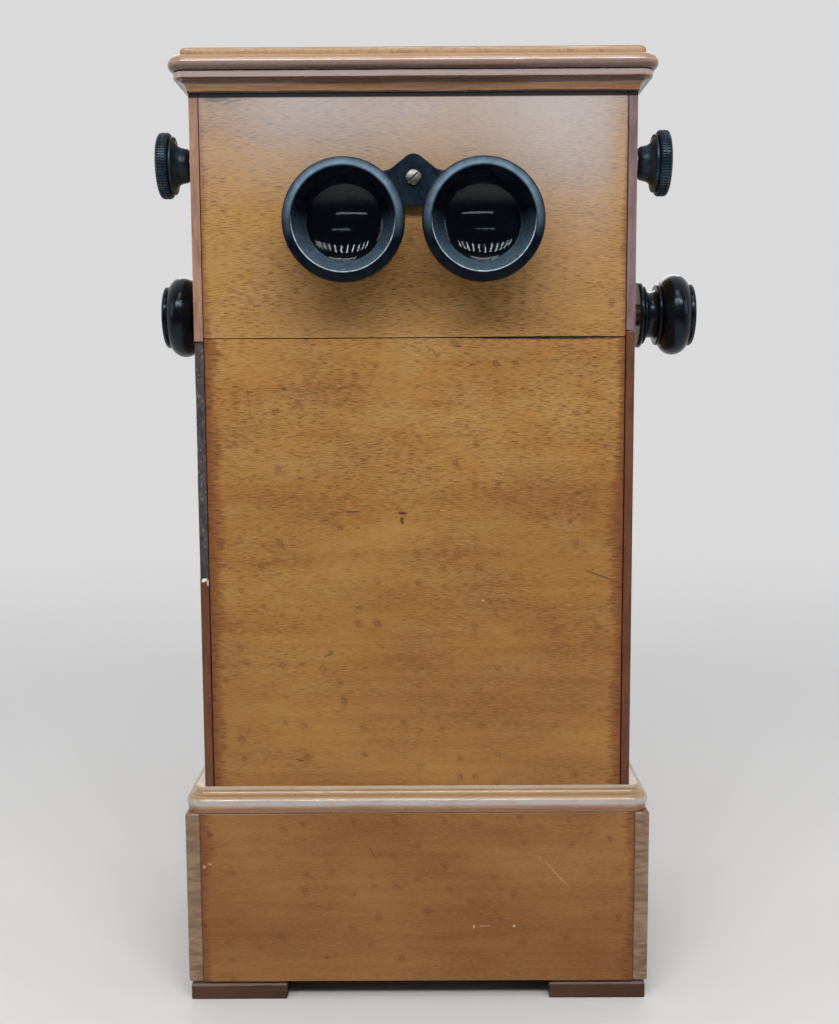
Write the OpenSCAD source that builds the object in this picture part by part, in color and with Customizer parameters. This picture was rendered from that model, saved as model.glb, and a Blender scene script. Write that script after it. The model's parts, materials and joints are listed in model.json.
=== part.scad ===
// Table stereo viewer with an endless chain of slide holders.
// The origin lies on the table, under the middle of the whole viewer's box.
// +X is the viewer's right, -Y is the side with the eyepieces, +Z is up.
// The modules are drawn with the cabinet body's middle over the origin; place_x and place_y shift them.

/* [Cabinet body] */
// Width of the body, over its side panels
body_w = 230; // [222:1:260]
// Depth of the body, over its front and back panels
body_d = 200; // [196:1:240]
// Height of the body's walls, from the bottom board to under the lid
wall_h = 475; // [466:1:520]
// Thickness of the side panels
side_t = 8; // [7:0.5:9]
// Thickness of the front and back panels
panel_t = 7; // [6:0.5:8]
// Width of the side panels' edge that shows beside the front panels
edge_w = 4.6; // [3:0.2:6]
// Height of the joint between the upper and the lower body, above the table
joint_z = 359.4; // [345:0.2:362]
// How much lower the joint lies in the left side panel
joint_drop_left = 1.5; // [0:0.1:3]
// How much higher the joint lies in the right side panel
joint_rise_right = 3.1; // [0:0.1:4]
// Width of the hairline that the body's joints show
seam = 0.5; // [0.2:0.1:0.8]

/* [Plinth and feet] */
// Height of the feet
foot_h = 10.6; // [8:0.2:14]
// Width of a foot, along X
foot_w = 52.4; // [40:0.2:70]
// Depth of a foot, along Y
foot_d = 40; // [30:1:60]
// How far a foot stands back from the plinth's faces
foot_set = 1; // [0.6:0.1:4]
// Depth of the shadow step round the top of a foot
foot_step = 1.6; // [1:0.1:3]
// Height of that shadow step
foot_step_h = 1.8; // [1:0.1:3]
// Thickness of the bottom board
bottom_t = 8; // [6:0.5:12]
// Height of the plinth's boards
plinth_h = 94.8; // [80:0.2:110]
// How far the plinth stands out at the sides
plinth_side = 10.3; // [9:0.1:13]
// How far the plinth stands out at the front and the back
plinth_front_out = 6; // [5:0.1:9]
// Width of the plinth's side boards' edge that shows at the front and the back
plinth_edge_w = 8; // [6:0.1:9]
// Height of the moulding on the plinth
plinth_mould_h = 13.6; // [13.2:0.1:16]
// How far the moulding's nose stands out from the plinth's boards
plinth_nose = 0.3; // [0.2:0.1:1.5]

/* [Cornice and lid] */
// Height of the cornice moulding
cornice_h = 9.6; // [9.6:0.1:14]
// Height of the flat fillet at its top
cornice_fillet = 3; // [2:0.1:3]
// How far the cornice stands out from the body
cornice_out = 7.3; // [6:0.1:7.8]
// Gap between the cornice and the lid
lid_gap = 0.4; // [0.3:0.1:0.8]
// Thickness of the lid board
lid_t = 8.2; // [7.8:0.1:12]
// How far the lid board stands out from the body
lid_out = 10; // [9:0.1:13]
// Thickness of the raised panel on the lid
lid_panel_t = 4.1; // [2.5:0.1:6]
// How far the raised panel stands out from the body
lid_panel_out = 3.7; // [1:0.1:5]

/* [Eyepieces] */
// Height of the lenses' axes above the joint between the upper and the lower body
lens_rise = 57.6; // [54:0.2:64]
// Distance between the lenses' axes
lens_spacing = 69.5; // [66:0.5:74]
// Diameter of a lens
lens_d = 41.8; // [39:0.2:42]
// Thickness of a lens at its edge
lens_edge_t = 3.5; // [2.5:0.1:5]
// Height of a lens's crown, on both faces
lens_crown = 2.6; // [1.5:0.1:3.2]
// Outer diameter of an eyepiece tube
tube_d = 46; // [45:0.2:48]
// Wall of an eyepiece tube
tube_wall = 2; // [1.5:0.1:2.2]
// How far the tubes reach into the body at rest, behind the front face
tube_in = 18; // [16:0.5:20]
// How far the eyecups' rims stand in front of the front face
cup_out = 33; // [30:0.5:38]
// Largest diameter of an eyecup
cup_d = 61; // [59:0.5:64]
// Diameter of an eyecup's mouth
cup_mouth_d = 50.6; // [49:0.2:52]
// Diameter of an eyecup's throat in front of the lens
cup_throat_d = 38.6; // [36:0.2:38.8]
// Depth from an eyecup's rim to the lens
cup_depth = 18; // [16:0.5:20]
// Thickness of the bridge plate
bridge_t = 2.5; // [2:0.1:3]
// Gap between the bridge plate and the front panel at rest
bridge_gap = 3.5; // [1:0.1:4.5]
// Width of the bridge plate's rings round the tubes
bridge_ring = 4; // [3:0.2:4.2]
// Height of the bridge screw above the lenses' axes
screw_rise = 23.6; // [22.5:0.1:25]
// Diameter of the bridge screw's head
screw_head_d = 8; // [7:0.1:9]
// Diameter of the bridge screw's shank
screw_d = 3; // [2.5:0.1:3.4]

/* [Focus] */
// How far the eyepieces travel outwards
focus_travel = 12; // [8:0.5:12]
// Distance of the focus rod behind the front face
focus_y = 26; // [25:0.5:28]
// Diameter of the focus rod
focus_rod_d = 5; // [4:0.1:5.4]
// Number of teeth on the pinion, of module 1
pinion_teeth = 12; // [12:1:14]
// Width of the pinion and of the rack bar
rack_w = 9; // [7:0.2:10]
// Height of the rack bar
rack_h = 11.4; // [10:0.1:12]
// Diameter of a focus knob
focus_knob_d = 34.4; // [32:0.2:38]
// Length of a focus knob
focus_knob_l = 16.5; // [16:0.5:20]
// Diameter of the collars in the side panels
focus_collar_d = 13; // [11:0.2:15]
// Length of those collars outside the side panels
focus_collar_l = 3.6; // [3:0.1:4.4]
// Thickness of the brass plates of the guide bracket
bracket_t = 3; // [2.5:0.1:3.5]

/* [Drum and chain] */
// Pitch of the chain, which is also the side of the drum's pitch square
pitch = 12; // [11.6:0.1:12.4]
// Thickness of a link plate
link_t = 1.2; // [1:0.1:1.4]
// Width of a link plate, along X
link_w = 60; // [40:1:90]
// Diameter of a link pin
link_pin_d = 1.8; // [1.5:0.1:2]
// Outer diameter of a link knuckle
knuckle_d = 3.4; // [3.2:0.1:3.6]
// Width of a glass slide
slide_w = 130; // [124:1:132]
// Height of a glass slide
slide_h = 60; // [56:0.5:61]
// Thickness of the groove for a slide
slide_groove = 1.7; // [1.4:0.1:1.9]
// Thickness of a slide holder
holder_t = 3.6; // [3.2:0.1:4]
// Width of a holder's side rail
holder_rail = 4.6; // [4:0.1:6]
// Height of a holder's foot, below the slide
holder_seat = 5.5; // [4.5:0.1:6.5]
// Length of the drum
drum_l = 96; // [80:1:120]
// Diameter of the drum shaft
drum_shaft_d = 6; // [5.5:0.1:6.4]
// Diameter of a drum knob
drum_knob_d = 47.4; // [44:0.2:52]
// Length of a drum knob
drum_knob_l = 34; // [32:0.5:38]
// Length of the collar that holds the right drum knob off the side panel
drum_collar_l = 16; // [12:0.5:20]
// Diameter of that collar
drum_collar_d = 13; // [11:0.2:16]

/* [Back door] */
// Height of the fixed rail above the back door
back_rail_h = 16; // [15:0.5:20]
// Width of the door's stiles and rails
door_frame_w = 22; // [18:0.5:25]
// Depth of the rabbet round the ground glass
glass_rabbet = 4; // [3:0.2:5]
// Thickness of the ground glass
glass_t = 2; // [1.6:0.1:2.4]
// Gap round the back door
door_gap = 0.5; // [0.4:0.1:0.8]
// Diameter of the door knob
door_knob_d = 12; // [10:0.5:16]
// Length of the door knob
door_knob_l = 13; // [11:0.5:18]
// Length of a hinge
hinge_l = 30; // [24:1:40]
// Thickness of a hinge leaf
leaf_t = 1; // [0.8:0.1:1.2]
// Diameter of a hinge knuckle
hinge_knuckle_d = 3.8; // [3.6:0.1:4]
// Diameter of a hinge pin
hinge_pin_d = 1.8; // [1.5:0.1:2]

/* [Hidden] */
$fn = 96;

over = 1;           // how far a cutter runs past the faces that it cuts
fit = 0.05;         // radial clearance of a shaft in its bore
apart = 0.3;        // gap between pieces of different bodies

half_w = body_w / 2;
half_d = body_d / 2;
inner_w = body_w - 2 * side_t;
floor_z = foot_h + bottom_t;
wall_top = floor_z + wall_h;
lid_z = wall_top + lid_gap;
plinth_top = foot_h + plinth_h;
plinth_half_w = half_w + plinth_side;
plinth_half_d = half_d + plinth_front_out;
plinth_ring_d = plinth_half_d - plinth_side;

joint_left_z = joint_z - joint_drop_left;
joint_right_z = joint_z + joint_rise_right;

lens_z = joint_z + lens_rise;
front_y = -half_d;
panel_in_y = front_y + panel_t;
lens_x = lens_spacing / 2;
tube_r = tube_d / 2;
tube_inner_r = tube_r - tube_wall;
cup_rim_y = front_y - cup_out;
lens_front_y = cup_rim_y + cup_depth;        // shoulder that the lens and the tube meet
lens_r = lens_d / 2;
lens_ball = (lens_r * lens_r + lens_crown * lens_crown) / (2 * lens_crown);
lens_edge_y = lens_front_y + crown_at(cup_throat_d / 2) + fit;
bridge_back_y = front_y - bridge_gap;
bridge_front_y = bridge_back_y - bridge_t;
screw_z = lens_z + screw_rise;
screw_shank_l = 10;
ring_l = 2;

tooth = 1;                                   // module of the rack and pinion
pinion_r = pinion_teeth * tooth / 2;
rack_pitch_z = screw_z + rack_h / 2 - tooth / 2;
rack_low_z = rack_pitch_z + tooth - rack_h;
rod_y = front_y + focus_y;
rod_z = rack_pitch_z + pinion_r;
rack_reach = 4 * tooth;
rack_back_y = rod_y + focus_travel + rack_reach + 2;
bracket_back_y = rod_y + 14;
bracket_in_w = rack_w + 2 * apart;
bracket_top_z = rod_z + focus_rod_d / 2 + 3;
bracket_low_z = rack_low_z - apart - bracket_t;
bracket_ear = 9;
bracket_screw_r = 1.2;
bracket_screw_in = 4;

link_r = pitch / 2;
seat_r = link_r + link_t / 2;
drum_z = lens_z - seat_r - holder_seat - slide_h / 2;
holder_low_clear = 5;
side_links = floor((drum_z + link_r - link_t / 2 - holder_seat - slide_h - 1 - holder_low_clear
  - floor_z) / pitch);
chain_low_z = drum_z + link_r - side_links * pitch;
knob_gap = 0.4;
focus_knob_x = half_w + focus_collar_l + knob_gap;
drum_bush_r = drum_shaft_d / 2 + 2.5;
focus_bush_r = focus_rod_d / 2 + 2;
flange_t = 2;

back_rail_z = wall_top - back_rail_h;
door_w = inner_w - 2 * door_gap;
door_low_z = joint_z + door_gap;
door_top_z = back_rail_z - door_gap;
hinge_y = half_d + hinge_knuckle_d / 2 + 0.1;
door_hinge_x = -inner_w / 2 + door_gap / 2;
lid_hinge_z = wall_top + lid_gap / 2;
leaf_face = half_d - hinge_y;
leaf_edge = hinge_knuckle_d / 2 + 0.2;
leaf_w = 9;
narrow_leaf_w = side_t + door_gap / 2 - leaf_edge - 0.4;
lid_leaf_w = lid_t - leaf_edge - 0.6;
leaf_screw_r = 0.9;
leaf_screw_in = 4;
hinge_knuckles = 5;
panel_back_y = half_d - panel_t;
glass_y = half_d - panel_t / 2 + 0.5;        // outer face of the ground glass
knob_screw_r = 1.6;
lid_hinge_xs = [-half_w + 45, half_w - 45];
door_hinge_zs = [door_low_z + 26, door_top_z - 26];

// The right knob and the eyecups reach out further than the left knob and the door knob
place_x = -drum_collar_l / 2;
place_y = (cup_out - door_knob_l) / 2;

wood = [0.72, 0.45, 0.2];
edge_wood = [0.55, 0.33, 0.22];
moulding_wood = [0.6, 0.34, 0.15];
dark_wood = [0.3, 0.18, 0.12];
ebonite = [0.08, 0.09, 0.11];
brass = [0.75, 0.6, 0.3];
nickel = [0.72, 0.7, 0.66];
black_metal = [0.1, 0.1, 0.11];
tin = [0.35, 0.36, 0.38];
lens_glass = [0.12, 0.14, 0.18];
frosted = [0.85, 0.88, 0.88];

// Points of an arc about c, from angle a to angle b
function arc(c, r, a, b, n = 8) =
  [for (i = [0:n]) [c[0] + r * cos(a + (b - a) * i / n), c[1] + r * sin(a + (b - a) * i / n)]];

// A box from its lowest to its highest corner
module span(low, high) {
  translate(low) cube([high[0] - low[0], high[1] - low[1], high[2] - low[2]]);
}

// A rod along X
module rod_x(r, x_low, x_high) {
  translate([x_low, 0, 0]) rotate([0, 90, 0]) cylinder(r = r, h = x_high - x_low);
}

// A rod along Y
module rod_y(r, y_low, y_high) {
  translate([0, y_low, 0]) rotate([-90, 0, 0]) cylinder(r = r, h = y_high - y_low);
}

// The same shape on both sides of the middle plane
module both_sides() {
  children();
  mirror([1, 0, 0]) children();
}

// A profile of outward reach and height, run along the sides and round the corners
module run_round(front, back, with_back) {
  both_sides() {
    translate([half_w, back, 0]) rotate([90, 0, 0]) linear_extrude(front + back) children();
    translate([half_w, -front, 0]) rotate([0, 0, -90]) rotate_extrude(angle = 90) children();
    if (with_back)
      translate([half_w, back, 0]) rotate_extrude(angle = 90) children();
  }
  translate([half_w, -front, 0]) rotate([0, 0, -90]) rotate([90, 0, 0])
    linear_extrude(body_w) children();
  if (with_back)
    translate([-half_w, back, 0]) rotate([0, 0, 90]) rotate([90, 0, 0])
      linear_extrude(body_w) children();
}

// The region of one strip between its mitres
module front_zone(front, reach = 30) {
  linear_extrude(lid_z + 50) polygon([
    [-half_w - reach, -front - reach], [half_w + reach, -front - reach],
    [half_w - reach, -front + reach], [-half_w + reach, -front + reach]
  ]);
}

module right_zone(front, back, back_mitre, reach = 30) {
  linear_extrude(lid_z + 50) polygon([
    [half_w + reach, -front - reach], [half_w + reach, back + back_mitre * reach],
    [half_w - reach, back - back_mitre * reach], [half_w - reach, -front + reach]
  ]);
}

// Plinth

module bottom_board() {
  color(dark_wood)
    span([-half_w, -half_d, foot_h], [half_w, half_d, floor_z]);
}

module foot() {
  low = [plinth_half_w - foot_set - foot_w, plinth_half_d - foot_set - foot_d, 0];
  high = [plinth_half_w - foot_set, plinth_half_d - foot_set, foot_h];
  step = [foot_step, foot_step, 0];
  span(low, [high[0], high[1], foot_h - foot_step_h]);
  span(low + step + [0, 0, foot_h - foot_step_h], high - step);
}

module feet() {
  color(dark_wood) both_sides() {
    foot();
    mirror([0, 1, 0]) foot();
  }
}

module plinth_front() {
  x = plinth_half_w - plinth_edge_w;
  color(wood)
    span([-x, -plinth_half_d, foot_h], [x, -half_d, plinth_top]);
}

module plinth_back() {
  mirror([0, 1, 0]) plinth_front();
}

module plinth_right() {
  x = plinth_half_w - plinth_edge_w;
  color(edge_wood) {
    span([half_w, -half_d, foot_h], [plinth_half_w, half_d, plinth_top]);
    span([x, -plinth_half_d, foot_h], [plinth_half_w, plinth_half_d, plinth_top]);
  }
}

module plinth_left() {
  mirror([1, 0, 0]) plinth_right();
}

// Shelf, fillet, hollow and nose, seen from the side
module plinth_profile() {
  nose = plinth_side + plinth_nose;
  body = plinth_side - plinth_front_out;
  step = body + 0.9;
  polygon(concat(
    [[0, 0], [nose - 0.8, 0], [nose - 0.6, 3]],
    arc([nose - 4.2, 5.2], 4.2, -30, 80),
    arc([step + 2.6, plinth_mould_h - 1.6], 2.6, 262, 180),
    [[step, plinth_mould_h], [0, plinth_mould_h]]
  ));
}

module plinth_ring() {
  color(moulding_wood) difference() {
    translate([0, 0, plinth_top])
      run_round(plinth_ring_d, plinth_ring_d, true) plinth_profile();
    span([-half_w, -half_d, 0], [half_w, half_d, wall_top]);
  }
}

module plinth_moulding_front() {
  intersection() {
    plinth_ring();
    front_zone(plinth_ring_d);
  }
}

module plinth_moulding_back() {
  mirror([0, 1, 0]) plinth_moulding_front();
}

module plinth_moulding_right() {
  intersection() {
    plinth_ring();
    right_zone(plinth_ring_d, plinth_ring_d, 1);
  }
}

module plinth_moulding_left() {
  mirror([1, 0, 0]) plinth_moulding_right();
}

// Body

// A side panel with a rabbet at the front, from one height to another
module side_panel(low, high) {
  color(edge_wood) difference() {
    span([half_w - side_t, -half_d, low], [half_w, half_d, high]);
    span([half_w - side_t - over, -half_d - over, low - over],
      [half_w - edge_w, panel_in_y, high + over]);
  }
}

module side_right_lower() {
  side_panel(floor_z, joint_right_z);
}

module side_left_lower() {
  mirror([1, 0, 0]) side_panel(floor_z, joint_left_z);
}

module side_right_upper() {
  difference() {
    side_panel(joint_right_z + seam, wall_top);
    shaft_holes();
  }
}

module side_left_upper() {
  difference() {
    mirror([1, 0, 0]) side_panel(joint_left_z + seam, wall_top);
    shaft_holes();
    at_door_hinges() mirror([0, 0, 1]) leaf_screws(narrow_leaf_w, leaf_edge) screw_hole();
  }
}

module shaft_holes() {
  reach = half_w + over;
  translate([0, 0, drum_z]) rod_x(drum_bush_r + fit, -reach, reach);
  translate([0, rod_y, rod_z]) rod_x(focus_bush_r + fit, -reach, reach);
}

module front_board(low, high) {
  x = half_w - edge_w - seam;
  span([-x, -half_d, low], [x, -half_d + panel_t, high]);
}

module front_lower_panel() {
  color(wood) front_board(floor_z, joint_z);
}

module front_upper_panel() {
  slot = rack_w / 2 + 1;
  color(wood) difference() {
    front_board(joint_z + seam, wall_top);
    bracket_holes() rod_y(bracket_screw_r + fit, panel_in_y - bracket_screw_in - fit, panel_in_y + over);
    for (side = [-1, 1])
      translate([side * lens_x, 0, lens_z])
        rod_y(tube_r + 0.5, -half_d - over, panel_in_y + over);
    span([-slot, -half_d - over, rack_low_z - 1], [slot, panel_in_y + over, rack_low_z + rack_h + 1]);
  }
}

// A board between the side panels, flush with their back edges
module back_board(low, high) {
  x = inner_w / 2;
  span([-x, panel_back_y, low], [x, half_d, high]);
}

module back_lower_panel() {
  color(wood) back_board(floor_z, joint_z);
}

module back_top_rail() {
  color(wood) difference() {
    back_board(back_rail_z, wall_top);
    at_lid_hinges() mirror([0, 0, 1]) leaf_screws(leaf_w, leaf_edge) screw_hole();
  }
}

// Cornice and lid

// Low edge, hollow and fillet, seen from the side
module cornice_profile() {
  low = wall_top - cornice_h;
  fillet = wall_top - cornice_fillet;
  hollow = cornice_out - 1.4;
  r = hollow - 0.7;
  polygon(concat(
    [[0, low], [0.7, low]],
    arc([hollow, fillet - 0.8 - r], r, 180, 90),
    [[hollow, fillet], [cornice_out, fillet]],
    [[cornice_out, wall_top], [0, wall_top]]
  ));
}

module cornice_ring() {
  color(moulding_wood) run_round(half_d, half_d, false) cornice_profile();
}

module cornice_front() {
  intersection() {
    cornice_ring();
    front_zone(half_d);
  }
}

module cornice_right() {
  intersection() {
    cornice_ring();
    right_zone(half_d, half_d, 0);
  }
}

module cornice_left() {
  mirror([1, 0, 0]) cornice_right();
}

// Round nose, wider above its foremost line than below it
module nose_profile() {
  under_r = lid_t * 0.42;
  over_r = lid_t - under_r;
  reach = 1.28;
  polygon(concat(
    [[0, 0]],
    arc([lid_out - under_r, under_r], under_r, -90, 0, 7),
    [for (p = arc([0, under_r], over_r, 10, 90, 8))
      [lid_out - over_r * reach + p[0] * reach, p[1]]],
    [[0, lid_t]]
  ));
}

module lid_board() {
  color(moulding_wood) difference() {
    translate([0, 0, lid_z]) {
      span([-half_w, -half_d, 0], [half_w, half_d, lid_t]);
      run_round(half_d, half_d, false) nose_profile();
    }
    at_lid_hinges() leaf_screws(lid_leaf_w, leaf_edge) screw_hole();
  }
}

module lid_panel_profile() {
  r = lid_panel_t * 0.6;
  polygon(concat([[0, 0], [lid_panel_out, 0]],
    arc([lid_panel_out - r, lid_panel_t - r], r, 0, 90, 6), [[0, lid_panel_t]]));
}

module lid_panel() {
  color(wood) translate([0, 0, lid_z + lid_t]) {
    span([-half_w, -half_d, 0], [half_w, half_d, lid_panel_t]);
    run_round(half_d, half_d, false) lid_panel_profile();
  }
}

// Hinges, each drawn along X with its pin on the X axis and its leaf on +Z or -Z

// Leaf on the panel's face, with a neck and a knuckle at every other step from the first
module hinge_leaf(first, width, edge) {
  step = hinge_l / hinge_knuckles;
  difference() {
    union() {
      span([-hinge_l / 2, leaf_face, edge], [hinge_l / 2, leaf_face + leaf_t, edge + width]);
      for (i = [first:2:hinge_knuckles - 1]) {
        low = -hinge_l / 2 + i * step + apart / 2;
        high = low + step - apart;
        span([low, leaf_face, 0], [high, leaf_face + leaf_t, edge + width]);
        rod_x(hinge_knuckle_d / 2, low, high);
      }
    }
    rod_x(hinge_pin_d / 2 + fit, -hinge_l, hinge_l);
    leaf_screws(width, edge) rod_y(leaf_screw_r + fit, leaf_face - over, leaf_face + leaf_t + over);
  }
}

module leaf_screws(width, edge) {
  for (x = [-hinge_l / 3, hinge_l / 3])
    translate([x, 0, edge + width / 2]) children();
}

// A slotted cheese-headed screw that points into the panel
module leaf_screw() {
  seat = leaf_face + leaf_t;
  head = leaf_screw_r * 1.8;
  difference() {
    union() {
      rod_y(head, seat, seat + 0.7);
      rod_y(leaf_screw_r, leaf_face - leaf_screw_in, seat + 0.1);
    }
    span([-head - over, seat + 0.4, -0.2], [head + over, seat + over, 0.2]);
  }
}

module screw_hole() {
  rod_y(leaf_screw_r + fit, leaf_face - leaf_screw_in - fit, leaf_face + over);
}

module at_lid_hinges() {
  for (x = lid_hinge_xs)
    translate([x, hinge_y, lid_hinge_z]) children();
}

module at_door_hinges() {
  for (z = door_hinge_zs)
    translate([door_hinge_x, hinge_y, z]) rotate([0, 90, 0]) children();
}

module fixed_hinge_leaves() {
  color(brass) {
    at_lid_hinges() mirror([0, 0, 1]) hinge_leaf(0, leaf_w, leaf_edge);
    at_door_hinges() mirror([0, 0, 1]) hinge_leaf(0, narrow_leaf_w, leaf_edge);
  }
}

module hinge_pins() {
  color(nickel) {
    at_lid_hinges() rod_x(hinge_pin_d / 2, -hinge_l / 2, hinge_l / 2);
    at_door_hinges() rod_x(hinge_pin_d / 2, -hinge_l / 2, hinge_l / 2);
  }
}

module fixed_hinge_screws() {
  color(nickel) {
    at_lid_hinges() mirror([0, 0, 1]) leaf_screws(leaf_w, leaf_edge) leaf_screw();
    at_door_hinges() mirror([0, 0, 1]) leaf_screws(narrow_leaf_w, leaf_edge) leaf_screw();
  }
}

module lid_hinge_leaves() {
  color(brass) at_lid_hinges() hinge_leaf(1, lid_leaf_w, leaf_edge);
}

module lid_hinge_screws() {
  color(nickel) at_lid_hinges() leaf_screws(lid_leaf_w, leaf_edge) leaf_screw();
}

module door_hinge_leaves() {
  color(brass) at_door_hinges() hinge_leaf(1, leaf_w, leaf_edge);
}

module door_hinge_screws() {
  color(nickel) at_door_hinges() leaf_screws(leaf_w, leaf_edge) leaf_screw();
}

// Back door

module glass_pocket() {
  x = door_w / 2 - door_frame_w + glass_rabbet;
  span([-x, panel_back_y - over, door_low_z + door_frame_w - glass_rabbet],
    [x, glass_y, door_top_z - door_frame_w + glass_rabbet]);
}

module door_stiles() {
  color(wood) difference() {
    both_sides() span([door_w / 2 - door_frame_w, panel_back_y, door_low_z],
      [door_w / 2, half_d, door_top_z]);
    glass_pocket();
    at_door_knob() rod_y(knob_screw_r + fit, panel_back_y - over, half_d + over);
    at_door_hinges() leaf_screws(leaf_w, leaf_edge) screw_hole();
  }
}

module at_door_knob() {
  translate([door_w / 2 - door_frame_w / 2, 0, lens_z]) children();
}

module door_rails() {
  x = door_w / 2 - door_frame_w;
  color(wood) difference() {
    for (z = [door_low_z, door_top_z - door_frame_w])
      span([-x, panel_back_y, z], [x, half_d, z + door_frame_w]);
    glass_pocket();
  }
}

module ground_glass() {
  x = door_w / 2 - door_frame_w + glass_rabbet - fit;
  color(frosted)
    span([-x, glass_y - glass_t, door_low_z + door_frame_w - glass_rabbet + fit],
      [x, glass_y, door_top_z - door_frame_w + glass_rabbet - fit]);
}

module glass_beads() {
  x = door_w / 2 - door_frame_w + glass_rabbet;
  low = door_low_z + door_frame_w - glass_rabbet;
  high = door_top_z - door_frame_w + glass_rabbet;
  y = glass_y - glass_t;
  color(moulding_wood) difference() {
    span([-x, panel_back_y, low], [x, y, high]);
    span([-x + glass_rabbet, panel_back_y - over, low + glass_rabbet],
      [x - glass_rabbet, y + over, high - glass_rabbet]);
  }
}

module door_knob() {
  r = door_knob_d / 2;
  neck = r * 0.45;
  color(brass) at_door_knob() translate([0, half_d, 0]) rotate([-90, 0, 0]) {
    rotate_extrude() polygon(concat(
      [[0, 0], [r * 0.75, 0], [r * 0.75, 1], [neck, 2]],
      [[neck, door_knob_l - r - 1.5]],
      arc([r - 2.2, door_knob_l - 4], 2.2, -60, 70, 8),
      [[0, door_knob_l]]
    ));
    translate([0, 0, -panel_t + 1]) cylinder(r = knob_screw_r, h = panel_t);
  }
}

// Eyepieces

module at_lens(side) {
  translate([side * lens_x, 0, lens_z]) children();
}

module eyepiece_tube(side) {
  color(black_metal) at_lens(side) difference() {
    rod_y(tube_r, lens_front_y, front_y + tube_in);
    rod_y(tube_inner_r, lens_front_y - over, front_y + tube_in + over);
  }
}

module eyepiece_tube_left() {
  eyepiece_tube(-1);
}

module eyepiece_tube_right() {
  eyepiece_tube(1);
}

// Turned about Z, with the rim at z = 0 and the back at z = cup_back
module cup_shape() {
  cup_back = bridge_front_y - cup_rim_y;
  outer = cup_d / 2;
  mouth = cup_mouth_d / 2;
  throat = cup_throat_d / 2;
  rim = 1.2;
  rotate_extrude() polygon(concat(
    [[throat, cup_depth], [throat, cup_depth - 1], [mouth - 1.6, 4]],
    arc([mouth + rim, rim], rim, 180, 300, 7),
    arc([outer - 2.2, 3.4], 2.2, -60, 0, 5),
    arc([outer - 7, 9], 7, 0, 30, 4),
    [[tube_r + 4.4, cup_back - 2], [tube_r + 3.8, cup_back], [tube_r + fit, cup_back]],
    [[tube_r + fit, cup_depth]]
  ));
}

module eyecup(side) {
  color(ebonite) at_lens(side) translate([0, cup_rim_y, 0]) rotate([-90, 0, 0]) cup_shape();
}

module eyecup_left() {
  eyecup(-1);
}

module eyecup_right() {
  eyecup(1);
}

// Height of a lens's face over its edge, at a distance from the axis
function crown_at(r) = lens_crown - lens_ball + sqrt(lens_ball * lens_ball - r * r);

// A lens with two shallow crowns, as one turned solid
module lens(side) {
  steps = 10;
  rs = [for (i = [0:steps]) lens_r * i / steps];
  color(lens_glass) at_lens(side) translate([0, lens_edge_y, 0]) rotate([-90, 0, 0])
    rotate_extrude() polygon(concat(
      [for (r = rs) [r, -crown_at(r)]],
      [for (i = [steps:-1:0]) [rs[i], lens_edge_t + crown_at(rs[i])]]
    ));
}

module lens_left() {
  lens(-1);
}

module lens_right() {
  lens(1);
}

module lens_rings() {
  hole_r = lens_r - 1.2;
  y = lens_edge_y + lens_edge_t + crown_at(hole_r) + fit;
  color(black_metal) for (side = [-1, 1])
    at_lens(side) difference() {
      rod_y(tube_inner_r - fit, y, y + ring_l);
      rod_y(hole_r, y - over, y + ring_l + over);
    }
}

// Outline of the bridge plate, in X and in height above the lenses' axes
module bridge_outline() {
  crown = [0, screw_rise + 5.8];
  shoulder = [15.6, screw_rise + 11.9];
  low = 9.3;
  top = shoulder[1] - 8.3;
  right = concat([[18, low], [18, top]], arc(shoulder, 8.3, 270, 225), arc(crown, 6.2, 45, 90));
  left = [for (i = [len(right) - 1:-1:0]) [-right[i][0], right[i][1]]];
  for (side = [-1, 1])
    translate([side * lens_x, 0]) circle(r = tube_r + bridge_ring);
  polygon(concat(right, left));
}

module bridge_plate() {
  color(black_metal) difference() {
    translate([0, bridge_back_y, lens_z]) rotate([90, 0, 0])
      linear_extrude(bridge_t) bridge_outline();
    for (side = [-1, 1])
      at_lens(side) rod_y(tube_r + fit, bridge_front_y - over, bridge_back_y + over);
    translate([0, 0, screw_z])
      rod_y(screw_d / 2 + fit, bridge_front_y - over, bridge_back_y + over);
  }
}

module bridge_screw() {
  head_h = 2;
  r = screw_head_d / 2;
  color(nickel) translate([0, bridge_front_y, screw_z]) {
    difference() {
      rotate([90, 0, 0]) rotate_extrude() polygon(concat(
        [[0, 0], [r, 0], [r, 0.7]],
        [for (i = [1:6]) [r * cos(i * 15), 0.7 + (head_h - 0.7) * sin(i * 15)]]
      ));
      rotate([0, -45, 0]) span([-r - over, -head_h - over, -0.4], [r + over, -0.9, 0.4]);
    }
    rod_y(screw_d / 2, 0, screw_shank_l);
  }
}

// Focus drive

function rack_tooth(y) = [
  [y - 1.12, -1.2], [y - 0.68, 0], [y - 0.36, 1], [y + 0.36, 1], [y + 0.68, 0], [y + 1.12, -1.2]
] * tooth;

// Side view of the rack bar, in Y and in height above the pitch line
module rack_outline() {
  gap = PI * tooth;
  first = -floor(rack_reach / gap) - 0.5;
  last = floor((focus_travel + rack_reach) / gap) + 0.5;
  low = rack_low_z - rack_pitch_z;
  polygon(concat(
    [[bridge_back_y - rod_y, low], [bridge_back_y - rod_y, tooth]],
    [[(first - 0.75) * gap, tooth], [(first - 0.6) * gap, -1.2 * tooth]],
    [for (i = [first:1:last], p = rack_tooth(i * PI)) p],
    [[rack_back_y - rod_y, -1.2 * tooth], [rack_back_y - rod_y, low]]
  ));
}

module rack_bar() {
  color(brass) difference() {
    translate([-rack_w / 2, rod_y, rack_pitch_z]) rotate([90, 0, 90])
      linear_extrude(rack_w) rack_outline();
    translate([0, 0, screw_z])
      rod_y(screw_d / 2 + fit, bridge_back_y - over, bridge_front_y + screw_shank_l + over);
  }
}

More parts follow.
